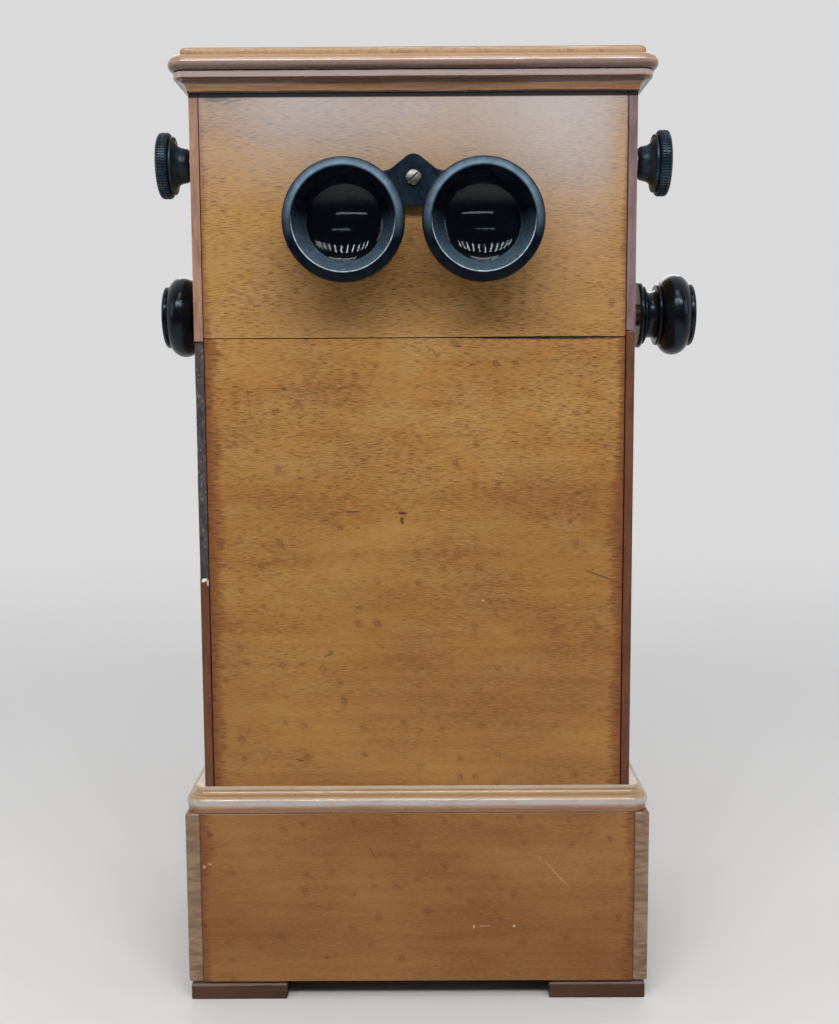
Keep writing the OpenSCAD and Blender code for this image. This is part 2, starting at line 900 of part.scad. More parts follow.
function pinion_tooth(a) = [
  for (p = [[pinion_r - 1.2 * tooth, -0.78], [pinion_r, -0.6], [pinion_r + 0.9 * tooth, -0.3],
      [pinion_r + 0.9 * tooth, 0.3], [pinion_r, 0.6], [pinion_r - 1.2 * tooth, 0.78]])
    [p[0] * cos(a) - p[1] * tooth * sin(a), p[0] * sin(a) + p[1] * tooth * cos(a)]
];

module pinion() {
  color(brass) translate([-rack_w / 2 + 0.5, rod_y, rod_z]) rotate([90, 0, 90]) difference() {
    linear_extrude(rack_w - 1)
      polygon([for (i = [0:pinion_teeth - 1], p = pinion_tooth(-90 + i * 360 / pinion_teeth)) p]);
    translate([0, 0, -over]) cylinder(r = focus_rod_d / 2 + fit, h = rack_w + 2 * over);
  }
}

module focus_rod() {
  reach = focus_knob_x + focus_knob_l - 5;
  color(nickel) translate([0, rod_y, rod_z]) rod_x(focus_rod_d / 2, -reach, reach);
}

// Plate on the front panel, with two cheeks and a floor that guide the rack bar
module guide_bracket() {
  cheek = bracket_in_w / 2 + bracket_t;
  ear = cheek + bracket_ear;
  color(brass) difference() {
    union() {
      span([-ear, panel_in_y, bracket_low_z], [ear, panel_in_y + bracket_t, bracket_top_z]);
      span([-cheek, panel_in_y, bracket_low_z], [cheek, bracket_back_y, bracket_top_z]);
    }
    span([-bracket_in_w / 2, panel_in_y + bracket_t, bracket_low_z + bracket_t],
      [bracket_in_w / 2, bracket_back_y + over, bracket_top_z + over]);
    span([-bracket_in_w / 2, panel_in_y - over, bracket_low_z + bracket_t],
      [bracket_in_w / 2, bracket_back_y + over, rack_low_z + rack_h + apart]);
    translate([0, rod_y, rod_z]) rod_x(focus_rod_d / 2 + fit, -ear, ear);
    bracket_holes() rod_y(bracket_screw_r + fit, panel_in_y - over, panel_in_y + bracket_t + over);
    for (side = [-1, 1])
      at_lens(side) rod_y(tube_r + 1, panel_in_y - over, front_y + tube_in + over);
  }
}

module bracket_holes() {
  x = bracket_in_w / 2 + bracket_t + bracket_ear / 2 + 0.5;
  for (side = [-1, 1])
    translate([side * x, 0, bracket_top_z - 5]) children();
}

module bracket_screws() {
  y = panel_in_y + bracket_t;
  head = bracket_screw_r * 1.8;
  color(nickel) bracket_holes() difference() {
    union() {
      rod_y(head, y, y + 1.4);
      rod_y(bracket_screw_r, panel_in_y - bracket_screw_in, y + 0.1);
    }
    span([-head - over, y + 0.7, -0.3], [head + over, y + 2, 0.3]);
  }
}

module focus_bushes() {
  color(nickel) both_sides() translate([0, rod_y, rod_z]) difference() {
    union() {
      rod_x(focus_bush_r, half_w - side_t, half_w + 0.1);
      rod_x(focus_collar_d / 2, half_w, half_w + focus_collar_l);
    }
    rod_x(focus_rod_d / 2 + fit, half_w - side_t - over, half_w + focus_collar_l + over);
  }
}

// Turned about Z, from the stem's end at z = 0 to the rim's face
module focus_knob_shape() {
  rim = focus_knob_d / 2;
  band = focus_knob_l - 6.2;
  bore = focus_rod_d / 2 + fit;
  rotate_extrude() polygon(concat(
    [[bore, 0]],
    arc([6.2, 2.8], 2.8, -90, 0, 5),
    arc([rim - 2.4, band - 7.4], 5.4, 180, 100, 8),
    arc([rim - 2.9, band - 1.3], 0.9, -60, 70, 4),
    [[rim - 3.3, band - 0.2]],
    arc([rim - 1.4, band + 1.4], 1.4, -100, 0, 5),
    arc([rim - 2, focus_knob_l - 2.4], 2, 0, 80, 5),
    [[rim - 4, focus_knob_l - 0.6], [0, focus_knob_l - 0.2]],
    [[0, focus_knob_l - 4.8], [bore, focus_knob_l - 4.8]]
  ));
}

module focus_knob_right() {
  color(black_metal) translate([focus_knob_x, rod_y, rod_z]) rotate([0, 90, 0])
    focus_knob_shape();
}

module focus_knob_left() {
  mirror([1, 0, 0]) focus_knob_right();
}

// Drum

module drum_bushes() {
  color(brass) both_sides() translate([0, 0, drum_z]) difference() {
    union() {
      rod_x(drum_bush_r, half_w - side_t - 0.1, half_w);
      rod_x(drum_bush_r + 4, half_w - side_t - flange_t, half_w - side_t);
    }
    rod_x(drum_shaft_d / 2 + fit, half_w - side_t - flange_t - over, half_w + over);
  }
}

module drum_shaft() {
  socket = drum_knob_l - 8;
  inner = half_w + knob_gap;
  color(nickel) translate([0, 0, drum_z]) {
    rod_x(drum_shaft_d / 2, -inner - socket, inner + drum_collar_l + socket);
    rod_x(drum_collar_d / 2, inner, inner + drum_collar_l);
  }
}

// A square bar with its corners hollowed for the chain's knuckles
module drum() {
  flat = link_r - link_t / 2 - apart;
  color(brass) translate([0, 0, drum_z]) difference() {
    span([-drum_l / 2, -flat, -flat], [drum_l / 2, flat, flat]);
    for (y = [-link_r, link_r], z = [-link_r, link_r])
      translate([0, y, z]) rod_x(knuckle_d / 2 + apart, -drum_l, drum_l);
    rod_x(drum_shaft_d / 2 + fit, -drum_l, drum_l);
  }
}

// Turned about Z, from the flange at z = 0 to the face; grip_high is where the grip ends
module drum_knob_shape() {
  r = drum_knob_d / 2;
  l = drum_knob_l;
  bore = drum_shaft_d / 2 + fit;
  grip_low = 13.9;
  grip_high = l - 3.6;
  grip_middle = (grip_low + grip_high) / 2;
  grip_reach = (grip_high - grip_low) / 2 / sin(62);
  rotate_extrude() polygon(concat(
    [[bore, 0], [r - 4.2, 0]],
    arc([r - 8, 0.6], 3.9, 0, 75, 6),
    [[r - 8.4, 4.6]],
    arc([r - 5.9, 7.9], 4.5, 225, 135, 8),
    arc([r - 7, 12.6], 1.7, -70, 60, 5),
    [for (a = [-62:124 / 16:62]) [r - 8.6 + 8.6 * cos(a), grip_middle + grip_reach * sin(a)]],
    arc([r - 7, l - 2.6], 2, -30, 60, 5),
    [[r - 8.6, l - 0.5], [0, l], [0, l - 8], [bore, l - 8]]
  ));
}

module drum_knobs() {
  color(ebonite) translate([0, 0, drum_z]) {
    translate([half_w + knob_gap + drum_collar_l, 0, 0]) rotate([0, 90, 0]) drum_knob_shape();
    translate([-half_w - knob_gap, 0, 0]) rotate([0, -90, 0]) drum_knob_shape();
  }
}

// Chain: each child is drawn on the link at the top of the drum, over the shaft

module at_links() {
  translate([0, 0, drum_z]) children();
  for (i = [1:side_links], side = [-1, 1])
    translate([0, 0, drum_z + pitch - i * pitch]) rotate([side * 90, 0, 0]) children();
  translate([0, 0, chain_low_z + link_r]) rotate([180, 0, 0]) children();
}

// A link has one wide knuckle on +Y and two outer ones on -Y
module link() {
  wide = link_w / 5;
  plate_y = link_r - knuckle_d / 2 - 0.3;
  neck_y = link_r - link_pin_d / 2 - fit;
  difference() {
    union() {
      span([-link_w / 2, -plate_y, link_r - link_t / 2], [link_w / 2, plate_y, link_r + link_t / 2]);
      span([-wide, 0, link_r - link_t / 2], [wide, neck_y, link_r + link_t / 2]);
      translate([0, link_r, link_r]) rod_x(knuckle_d / 2, -wide, wide);
      for (x = [-link_w / 2, wide + 0.3]) {
        outer = link_w / 2 - wide - 0.3;
        span([x, -neck_y, link_r - link_t / 2], [x + outer, 0, link_r + link_t / 2]);
        translate([x, -link_r, link_r]) rod_x(knuckle_d / 2, 0, outer);
      }
    }
    for (y = [-link_r, link_r])
      translate([0, y, link_r]) rod_x(link_pin_d / 2 + fit, -link_w, link_w);
  }
}

module link_plates() {
  color(tin) at_links() link();
}

module link_pins() {
  color(nickel) at_links()
    translate([0, link_r, link_r]) rod_x(link_pin_d / 2, -link_w / 2 - 0.5, link_w / 2 + 0.5);
}

// A channel open at the top, with a groove for the glass in both rails and in its foot
module holder() {
  x = slide_w / 2 + 2;
  top = seat_r + holder_seat + slide_h + 0.5;
  groove_x = slide_w / 2 + 0.3;
  difference() {
    span([-x - 1, -holder_t / 2, seat_r], [x + 1, holder_t / 2, top]);
    span([-x + holder_rail, -holder_t, seat_r + holder_seat + 2], [x - holder_rail, holder_t, top + over]);
    span([-groove_x, -slide_groove / 2, seat_r + holder_seat], [groove_x, slide_groove / 2, top + over]);
  }
}

module slide_holders() {
  color(tin) at_links() holder();
}

translate([place_x, place_y, 0]) {
  bottom_board();
  feet();
  plinth_front();
  plinth_back();
  plinth_left();
  plinth_right();
  plinth_moulding_front();
  plinth_moulding_back();
  plinth_moulding_left();
  plinth_moulding_right();
  side_left_lower();
  side_left_upper();
  side_right_lower();
  side_right_upper();
  front_lower_panel();
  front_upper_panel();
  back_lower_panel();
  back_top_rail();
  cornice_front();
  cornice_left();
  cornice_right();
  fixed_hinge_leaves();
  hinge_pins();
  fixed_hinge_screws();
  guide_bracket();
  bracket_screws();
  focus_bushes();
  drum_bushes();
  link_plates();
  link_pins();
  slide_holders();
  lid_board();
  lid_panel();
  lid_hinge_leaves();
  lid_hinge_screws();
  door_stiles();
  door_rails();
  ground_glass();
  glass_beads();
  door_knob();
  door_hinge_leaves();
  door_hinge_screws();
  bridge_plate();
  bridge_screw();
  rack_bar();
  eyepiece_tube_left();
  eyepiece_tube_right();
  eyecup_left();
  eyecup_right();
  lens_left();
  lens_right();
  lens_rings();
  focus_rod();
  pinion();
  focus_knob_left();
  focus_knob_right();
  drum_shaft();
  drum();
  drum_knobs();
}
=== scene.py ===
# Looks of the table stereo viewer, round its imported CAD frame.
import json
import math
import bmesh
import bpy
from mathutils import Matrix, Vector

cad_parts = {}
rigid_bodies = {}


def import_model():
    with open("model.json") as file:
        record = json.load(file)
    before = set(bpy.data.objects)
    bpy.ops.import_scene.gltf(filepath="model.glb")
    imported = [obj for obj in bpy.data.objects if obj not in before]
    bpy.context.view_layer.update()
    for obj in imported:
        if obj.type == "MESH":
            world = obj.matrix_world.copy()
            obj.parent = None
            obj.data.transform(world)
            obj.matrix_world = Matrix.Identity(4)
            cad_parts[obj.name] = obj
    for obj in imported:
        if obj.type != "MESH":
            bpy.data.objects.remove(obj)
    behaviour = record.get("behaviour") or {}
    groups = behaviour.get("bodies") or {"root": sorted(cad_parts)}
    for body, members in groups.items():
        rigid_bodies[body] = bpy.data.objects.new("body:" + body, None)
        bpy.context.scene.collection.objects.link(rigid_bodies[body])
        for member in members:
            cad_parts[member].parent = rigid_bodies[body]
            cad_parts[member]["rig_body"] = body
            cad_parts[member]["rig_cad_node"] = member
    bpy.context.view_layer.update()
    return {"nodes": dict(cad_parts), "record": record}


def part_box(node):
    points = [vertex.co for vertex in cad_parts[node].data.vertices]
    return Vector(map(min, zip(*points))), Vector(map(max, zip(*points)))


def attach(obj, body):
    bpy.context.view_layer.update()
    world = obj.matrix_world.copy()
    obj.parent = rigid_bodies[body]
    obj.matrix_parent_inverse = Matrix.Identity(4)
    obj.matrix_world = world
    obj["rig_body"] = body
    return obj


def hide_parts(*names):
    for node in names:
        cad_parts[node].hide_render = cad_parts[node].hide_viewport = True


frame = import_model()
nodes = frame["nodes"]
mm = 0.001

# The cabinet body's half width and half depth, and its middle on the table. Pieces are placed in
# millimetres from that middle, and the camera in metres. A material's places and sizes are in
# metres from it too, except where its note says millimetres
halfWidth, halfDepth = 115, 100
panelLow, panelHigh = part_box("front_upper_panel")
bodyPlace = Vector(((panelLow.x + panelHigh.x) / 2, panelLow.y + halfDepth * mm, 0))
print("frame loaded:", len(nodes), "CAD nodes")


def inMetres(pair):
    return [size * mm for size in pair]


# Camera: the photograph's own place and angle
camera = {
    "place": (0.003857, -0.772177, 0.343359),
    "pitch": 6.381,
    "yaw": -0.148,
    "roll": -0.305,
    "lens": 44.904,
    "sensor": 36,
}


def addCamera(c):
    pitch, yaw, roll = (math.radians(c[k]) for k in ("pitch", "yaw", "roll"))
    forward = Vector((math.sin(yaw) * math.cos(pitch), math.cos(yaw) * math.cos(pitch), -math.sin(pitch)))
    right = Vector((math.cos(yaw), -math.sin(yaw), 0))
    up = right.cross(forward)
    rolledRight = right * math.cos(roll) + up * math.sin(roll)
    rolledUp = up * math.cos(roll) - right * math.sin(roll)
    turn = Matrix((rolledRight, rolledUp, -forward)).transposed()
    bpy.ops.object.camera_add(location=bodyPlace + Vector(c["place"]))
    shot = bpy.context.object
    shot.rotation_euler = turn.to_euler()
    shot.data.sensor_width = c["sensor"]
    shot.data.lens = c["lens"]
    bpy.context.scene.camera = shot


addCamera(camera)
bpy.context.scene.view_settings.view_transform = "Standard"


# Node helpers: a node with its settings, its inputs given as values or as sockets
def addNode(mat, kind, inputs=None, **settings):
    node = mat.node_tree.nodes.new(kind)
    for key, value in settings.items():
        setattr(node, key, value)
    for key, value in (inputs or {}).items():
        if isinstance(value, bpy.types.NodeSocket):
            mat.node_tree.links.new(value, node.inputs[key])
        else:
            node.inputs[key].default_value = value
    return node


def startMaterial(name, **shader):
    mat = bpy.data.materials.new(name)
    mat.use_nodes = True
    bsdf = mat.node_tree.nodes["Principled BSDF"]
    for key, value in shader.items():
        bsdf.inputs[key.replace("_", " ")].default_value = value
    return mat, bsdf


def bodyPoint(mat):
    point = addNode(mat, "ShaderNodeTexCoord").outputs["Object"]
    return addNode(mat, "ShaderNodeMapping", {"Vector": point, "Location": -bodyPlace}).outputs[0]


def stretched(mat, point, scale, turn=(0, 0, 0), shift=(0, 0, 0)):
    return addNode(mat, "ShaderNodeMapping",
                   {"Vector": point, "Scale": scale, "Rotation": turn, "Location": shift}).outputs[0]


def noise(mat, point, scale=1.0, detail=4.0, roughness=0.55, distortion=0.0):
    return addNode(mat, "ShaderNodeTexNoise",
                   {"Vector": point, "Scale": scale, "Detail": detail, "Roughness": roughness,
                    "Distortion": distortion}).outputs["Fac"]


def remap(mat, value, low, high, toLow=0.0, toHigh=1.0, smooth=False):
    kind = "SMOOTHSTEP" if smooth else "LINEAR"
    return addNode(mat, "ShaderNodeMapRange",
                   {"Value": value, "From Min": low, "From Max": high, "To Min": toLow, "To Max": toHigh},
                   interpolation_type=kind).outputs[0]


def calc(mat, kind, a, b=0.0, clamp=False):
    return addNode(mat, "ShaderNodeMath", {0: a, 1: b}, operation=kind, use_clamp=clamp).outputs[0]


def times(mat, product, *factors):
    for factor in factors:
        product = calc(mat, "MULTIPLY", product, factor)
    return product


def lengthOf(mat, a, b):
    return calc(mat, "SQRT", calc(mat, "ADD", times(mat, a, a), times(mat, b, b)))


def blendColor(mat, factor, a, b):
    node = addNode(mat, "ShaderNodeMix", data_type="RGBA")
    for index, value in ((0, factor), (6, a), (7, b)):
        if isinstance(value, bpy.types.NodeSocket):
            mat.node_tree.links.new(value, node.inputs[index])
        else:
            node.inputs[index].default_value = value if index == 0 else (*value, 1)
    return node.outputs[2]


def axesOf(mat, point):
    return addNode(mat, "ShaderNodeSeparateXYZ", {0: point}).outputs


def connect(mat, value, bsdf, socket):
    mat.node_tree.links.new(value, bsdf.inputs[socket])


def addBump(mat, bsdf, height, strength, distance):
    bump = addNode(mat, "ShaderNodeBump", {"Height": height, "Strength": strength, "Distance": distance})
    connect(mat, bump.outputs[0], bsdf, "Normal")


# Roughness that wanders with a noise, from a little below its value to a little above
def varyRoughness(mat, bsdf, cloud, rough, below, above, low=0.3, high=0.7):
    connect(mat, remap(mat, cloud, low, high, rough - below, rough + above), bsdf, "Roughness")


# 1 on the cabinet's outer faces and beyond them, 0 inside
def outside(mat, x, y):
    skin, fade = 0.5, 0.3
    beyondSide = calc(mat, "SUBTRACT", calc(mat, "ABSOLUTE", x), (halfWidth - skin) * mm)
    beyondFront = calc(mat, "SUBTRACT", calc(mat, "ABSOLUTE", y), (halfDepth - skin) * mm)
    return remap(mat, calc(mat, "MAXIMUM", beyondSide, beyondFront), 0, fade * mm)


# A spot of one size and turn about a place on a board, 1 at its middle and 0 at its edge
def spot(mat, point, place, size, turn):
    at = addNode(mat, "ShaderNodeMapping",
                 {"Vector": point, "Location": place, "Rotation": turn, "Scale": size},
                 vector_type="TEXTURE").outputs[0]
    return addNode(mat, "ShaderNodeTexGradient", {"Vector": at}, gradient_type="SPHERICAL").outputs["Fac"]


# Maple veneer: its paints, its fine ticks along the grain, its noises as repeats a metre across,
# deep and up, and the heights where it turns browner (a painted shade, darker towards the bottom),
# plainer or fuller of eyes. In the materials a pair or a four of numbers is what remap takes: the
# ends of a value, and what they become
veneer = {
    "gold": (0.340, 0.157, 0.036),
    "olive": (0.350, 0.193, 0.060),
    "brown": (0.225, 0.086, 0.013),
    "tick": (0.055, 0.018, 0.004),
    "fleck": (0.62, 0.42, 0.19),
    "eye": (0.085, 0.019, 0.003),
    "stain": (0.15, 0.040, 0.009),
    "tickLength": 0.0042,
    "tickHeight": 0.00038,
    "tickStrength": 0.85,
    "tickRise": (0.14, 0.34, 0.45, 1.0),
    "tickDark": (0.53, 0.66),
    "tickPale": (0.38, 0.27),
    "paleShare": 0.4,
    "hairsShorter": 2.2,
    "hairsThinner": 1.5,
    "hairTone": (0.36, 0.64, -0.16, 0.16),
    "patches": (24, 24, 40),
    "patchDepth": (0.36, 0.60, 0.45, 0.9),
    "streaks": (7, 7, 130),
    "streakTone": (0.35, 0.65, -0.16, 0.2),
    "clouds": (12, 12, 20),
    "cloudTone": (0.3, 0.7, -0.4, 0.4),
    # Painted shade: the tone turns browner towards the bottom
    "shadeDownwards": (0.36, 0.23, 0.06, 0.50),
    "hues": (30, 30, 46),
    "hueShift": (0.4, 0, 0.9),
    "oliveHue": (0.42, 0.60),
    "oliveRise": (0.11, 0.30, 0.25, 1.0),
    "oliveShare": 0.75,
    "eyeSpacing": 0.0105,
    "eyeSize": 0.0018,
    "eyeShare": 0.42,
    "eyeFall": (0.36, 0.12),
    "wornGrain": (160, 160, 900),
    "wornReach": (0.32, 0.68, 0.5, 1.4),
    "slowGrain": (6, 6, 22),
    "slowReach": (0.35, 0.65, 0.6, 1.7),
    "stainPower": 0.6,
    "dashes": (0.52, 0.62),
    "dashFade": (0.15, 0.6),
    "dashShare": 0.6,
    "roughness": 0.5,
    "specular": 0.3,
    "gloss": 0.15,
    "coatRoughness": 0.22,
    "relief": 0.00015,
}


def tonedGrain(mat, v, point, z):
    along, fine = 1 / v["tickLength"], 1 / v["tickHeight"]
    ticks = noise(mat, stretched(mat, point, (along, along, fine)), 1.0, 1.0, 0.5, 0.1)
    alongHairs, fineHairs = along * v["hairsShorter"], fine * v["hairsThinner"]
    hairs = noise(mat, stretched(mat, point, (alongHairs, alongHairs, fineHairs)), 1.0, 2.0, 0.6)
    patches = noise(mat, stretched(mat, point, v["patches"]), 1.0, 3.0, 0.6)
    streaks = noise(mat, stretched(mat, point, v["streaks"]), 1.0, 4.0, 0.62, 0.5)
    cloud = noise(mat, stretched(mat, point, v["clouds"]), 1.0, 3.0, 0.5)
    hue = noise(mat, stretched(mat, point, v["hues"], shift=v["hueShift"]), 1.0, 3.0, 0.6)
    # Painted shade: the tone turns browner towards the bottom, as the light falls from above
    tone = calc(mat, "ADD", remap(mat, z, *v["shadeDownwards"]), remap(mat, cloud, *v["cloudTone"]))
    tone = calc(mat, "ADD", tone, remap(mat, streaks, *v["streakTone"]))
    tone = calc(mat, "ADD", tone, remap(mat, hairs, *v["hairTone"]), True)
    olive = times(mat, remap(mat, hue, *v["oliveHue"]), remap(mat, z, *v["oliveRise"]), v["oliveShare"])
    color = blendColor(mat, tone, blendColor(mat, olive, v["gold"], v["olive"]), v["brown"])
    patch = times(mat, remap(mat, patches, *v["patchDepth"]), remap(mat, z, *v["tickRise"]))
    dark = times(mat, remap(mat, ticks, *v["tickDark"], 0, v["tickStrength"]), patch)
    pale = times(mat, remap(mat, ticks, *v["tickPale"], 0, v["tickStrength"] * v["paleShare"]), patch)
    color = blendColor(mat, pale, blendColor(mat, dark, color, v["tick"]), v["fleck"])
    return color, ticks, cloud


# Eyes of the maple: pairs of short, broken upright strokes with a faint halo, in some of the cells
# of a flat pattern. A cell's own random color says whether it has an eye, how big and how leaning.
# Lengths are in half widths of an eye
eyeShape = {
    "sizes": (0.6, 1.25),
    "waves": 1.6,
    "raggedAcross": (0.25, 0.75, -0.9, 0.9),
    "raggedUp": (0.25, 0.75, 0.6, -0.6),
    "lean": (-0.2, 0.2),
    "bend": 0.3,
    "apart": 0.5,
    "stroke": (0.30, 0.06),
    "tall": (1.25, 0.5),
    "breaks": 3.1,
    "broken": (0.40, 0.58, 0.15, 1.0),
    "halo": (2.0, 0.4, 0, 0.16),
    "fewest": 0.12,
    "depths": (0.4, 1.3),
}


def mapleEyes(mat, v, across, z):
    e, size = eyeShape, v["eyeSize"]
    flat = addNode(mat, "ShaderNodeCombineXYZ", {0: across, 1: z}).outputs[0]
    cells = addNode(mat, "ShaderNodeTexVoronoi", {"Vector": flat, "Scale": 1 / v["eyeSpacing"]},
                    voronoi_dimensions="2D").outputs
    away = addNode(mat, "ShaderNodeVectorMath", {0: flat, 1: cells["Position"]}, operation="SUBTRACT")
    dx, dz, _ = axesOf(mat, away.outputs[0])
    red, green, blue = addNode(mat, "ShaderNodeSeparateColor", {0: cells["Color"]}).outputs
    rough = noise(mat, flat, e["waves"] / size, 3.0, 0.7)
    half = times(mat, remap(mat, blue, 0, 1, *e["sizes"]), size)
    dx = calc(mat, "ADD", calc(mat, "DIVIDE", dx, half), remap(mat, rough, *e["raggedAcross"]))
    dz = calc(mat, "ADD", calc(mat, "DIVIDE", dz, half), remap(mat, rough, *e["raggedUp"]))
    lean = times(mat, dz, remap(mat, green, 0, 1, *e["lean"]))
    apart = calc(mat, "ABSOLUTE", calc(mat, "ADD", dx, lean))
    apart = calc(mat, "ADD", apart, times(mat, dz, dz, e["bend"]))
    stroke = remap(mat, calc(mat, "ABSOLUTE", calc(mat, "SUBTRACT", apart, e["apart"])), *e["stroke"])
    tall = remap(mat, calc(mat, "ABSOLUTE", dz), *e["tall"])
    broken = remap(mat, noise(mat, flat, e["breaks"] / size, 2.0, 0.7), *e["broken"])
    halo = remap(mat, lengthOf(mat, dx, dz), *e["halo"])
    share = remap(mat, z, *v["eyeFall"], v["eyeShare"] * e["fewest"], v["eyeShare"])
    chosen = calc(mat, "LESS_THAN", red, share)
    depth = remap(mat, green, 0, 1, *e["depths"])
    eye = calc(mat, "MAXIMUM", times(mat, stroke, tall, broken), halo)
    return calc(mat, "MULTIPLY", times(mat, eye, chosen), depth, True)


# Dirt that has crept from a board's upright edges into its grain
def stainedEdges(mat, color, v, point, across, stain):
    width, strength = stain["width"], stain["strength"]
    worn = noise(mat, stretched(mat, point, v["wornGrain"]), 1.0, 3.0, 0.6)
    slow = noise(mat, stretched(mat, point, v["slowGrain"]), 1.0, 2.0, 0.5)
    reach = times(mat, remap(mat, slow, *v["slowReach"]), remap(mat, worn, *v["wornReach"]), width)
    inward = calc(mat, "SUBTRACT", stain["edge"], calc(mat, "ABSOLUTE", across))
    near = calc(mat, "SUBTRACT", 1, calc(mat, "DIVIDE", inward, reach), True)
    dark = times(mat, calc(mat, "POWER", near, v["stainPower"]), strength)
    color = blendColor(mat, dark, color, v["stain"])
    dashes = times(mat, remap(mat, worn, *v["dashes"]), remap(mat, near, *v["dashFade"]),
                   strength * v["dashShare"])
    return blendColor(mat, dashes, color, v["tick"])


# A painted sheen of light on the varnish near the cornice, most in the middle, and drifting down on
# the viewer's right
paintedSheen = {
    "paint": (0.46, 0.50, 0.57),
    "strength": 0.5,
    "rise": (0.425, 0.486),
    "cloudy": (0.3, 0.7, 0.7, 1.1),
    "middle": (0.112, 0.060, 0.45, 1.0),
    "drift": 0.24,
    "driftAcross": (0.02, 0.09),
    "driftEdge": (0.110, 0.097),
    "driftRise": (0.38, 0.46),
}


def addPaintedSheen(mat, color, b, x, z, across, cloud):
    sheenPaint = times(mat, remap(mat, z, *b["rise"], 0, b["strength"]), remap(mat, cloud, *b["cloudy"]),
                  remap(mat, calc(mat, "ABSOLUTE", across), *b["middle"], True))
    drift = times(mat, remap(mat, x, *b["driftAcross"], 0, b["drift"], True),
                  remap(mat, z, *b["driftRise"], 0, 1, True), remap(mat, x, *b["driftEdge"]))
    return blendColor(mat, calc(mat, "ADD", sheenPaint, drift), color, b["paint"])


# Single marks on the front: each one's place across and up, width and height in millimetres, turn in
# degrees, paint and strength
markLook = {"y": -103, "depth": 12, "fray": (500, 500, 1100), "frayed": (0.36, 0.6, 0.45, 1.4),
            "cover": (0.05, 0.35)}


def paintMarks(mat, color, point, marks):
    m = markLook
    frayed = noise(mat, stretched(mat, point, m["fray"]), 1.0, 3.0, 0.7)
    frayed = remap(mat, frayed, *m["frayed"])
    for across, up, width, height, turn, paint, strength in marks:
        size = Vector((width / 2, m["depth"], height / 2)) * mm
        place = Vector((across, m["y"], up)) * mm
        mask = spot(mat, point, place, size, (0, math.radians(-turn), 0))
        mask = remap(mat, times(mat, mask, frayed), *m["cover"], 0, strength)
        color = blendColor(mat, mask, color, paint)
    return color


# The front edge of a side board, which shows the board's own wood, rubbed above its crest; on the
# lid panel's top edge that pale rubbing is wear and a painted highlight
bandLook = {
    "across": 500,
    "slant": 0,
    "clouds": (40, 40, 30),
    "darken": (0.42, 0.62, 0, 0.75),
    "tinge": (0.35, 0.65, 0, 0.5),
    "wander": (0.3, 0.7, -0.0005, 0.0005),
    "rubbed": (0, 0.0005),
    "fade": 0.0003,
}


def bandColor(mat, color, point, y, z, band):
    b = {**bandLook, **band}
    scale = (b["across"], b["across"], b["grain"])
    grain = noise(mat, stretched(mat, point, scale, (0, math.radians(b["slant"]), 0)), 1.0, 3.0, 0.6, 0.4)
    cloud = noise(mat, stretched(mat, point, b["clouds"]), 1.0, 2.0, 0.5)
    edge = blendColor(mat, remap(mat, grain, *b["darken"]), b["wood"], b["dark"])
    edge = blendColor(mat, remap(mat, cloud, *b["tinge"]), edge, b["tint"])
    if "crest" in b:
        crest = calc(mat, "ADD", b["crest"], remap(mat, cloud, *b["wander"]))
        edge = blendColor(mat, remap(mat, calc(mat, "SUBTRACT", z, crest), *b["rubbed"]), edge, b["worn"])
    return blendColor(mat, remap(mat, y, b["at"] + b["fade"], b["at"]), color, edge)


# A painted shadow line under the cornice, on the front and the sides, in millimetres
shadowLine = {"paint": (0.012, 0.011, 0.014), "rise": (481.4, 482.0), "back": (99.5, 98.5),
            "strength": 0.97, "specular": 0.03}


def addShadowLine(mat, bsdf, color, v, x, y, z):
    d = shadowLine
    shade = remap(mat, z, *inMetres(d["rise"]), 0, d["strength"])
    shade = times(mat, shade, outside(mat, x, y), remap(mat, y, *inMetres(d["back"])))
    connect(mat, remap(mat, shade, 0, 1, v["gloss"], 0), bsdf, "Coat Weight")
    connect(mat, remap(mat, shade, 0, 1, v["specular"], d["specular"]), bsdf, "Specular IOR Level")
    return blendColor(mat, shade, color, d["paint"])


def woodVeneer(name, v, faceAxis, stain, marks=(), edgeBand=None):
    mat, bsdf = startMaterial(name, Roughness=v["roughness"], Coat_Weight=v["gloss"],
                              Coat_Roughness=v["coatRoughness"], Specular_IOR_Level=v["specular"])
    point = bodyPoint(mat)
    x, y, z = axesOf(mat, point)
    across = x if faceAxis == "y" else y
    color, ticks, cloud = tonedGrain(mat, v, point, z)
    color = blendColor(mat, mapleEyes(mat, v, across, z), color, v["eye"])
    if stain:
        color = stainedEdges(mat, color, v, point, across, stain)
    # Painted sheen: the light on the varnish near the cornice
    if "sheenPaint" in v:
        color = addPaintedSheen(mat, color, v["sheenPaint"], x, z, across, cloud)
    if edgeBand:
        color = bandColor(mat, color, point, y, z, edgeBand)
    if marks:
        color = paintMarks(mat, color, point, marks)
    # Painted shadow: the dark line under the cornice
    if "shadowLine" in v:
        color = addShadowLine(mat, bsdf, color, v, x, y, z)
    connect(mat, color, bsdf, "Base Color")
    varyRoughness(mat, bsdf, cloud, v["roughness"], 0.05, 0.09)
    addBump(mat, bsdf, ticks, 0.22, v["relief"])
    return mat


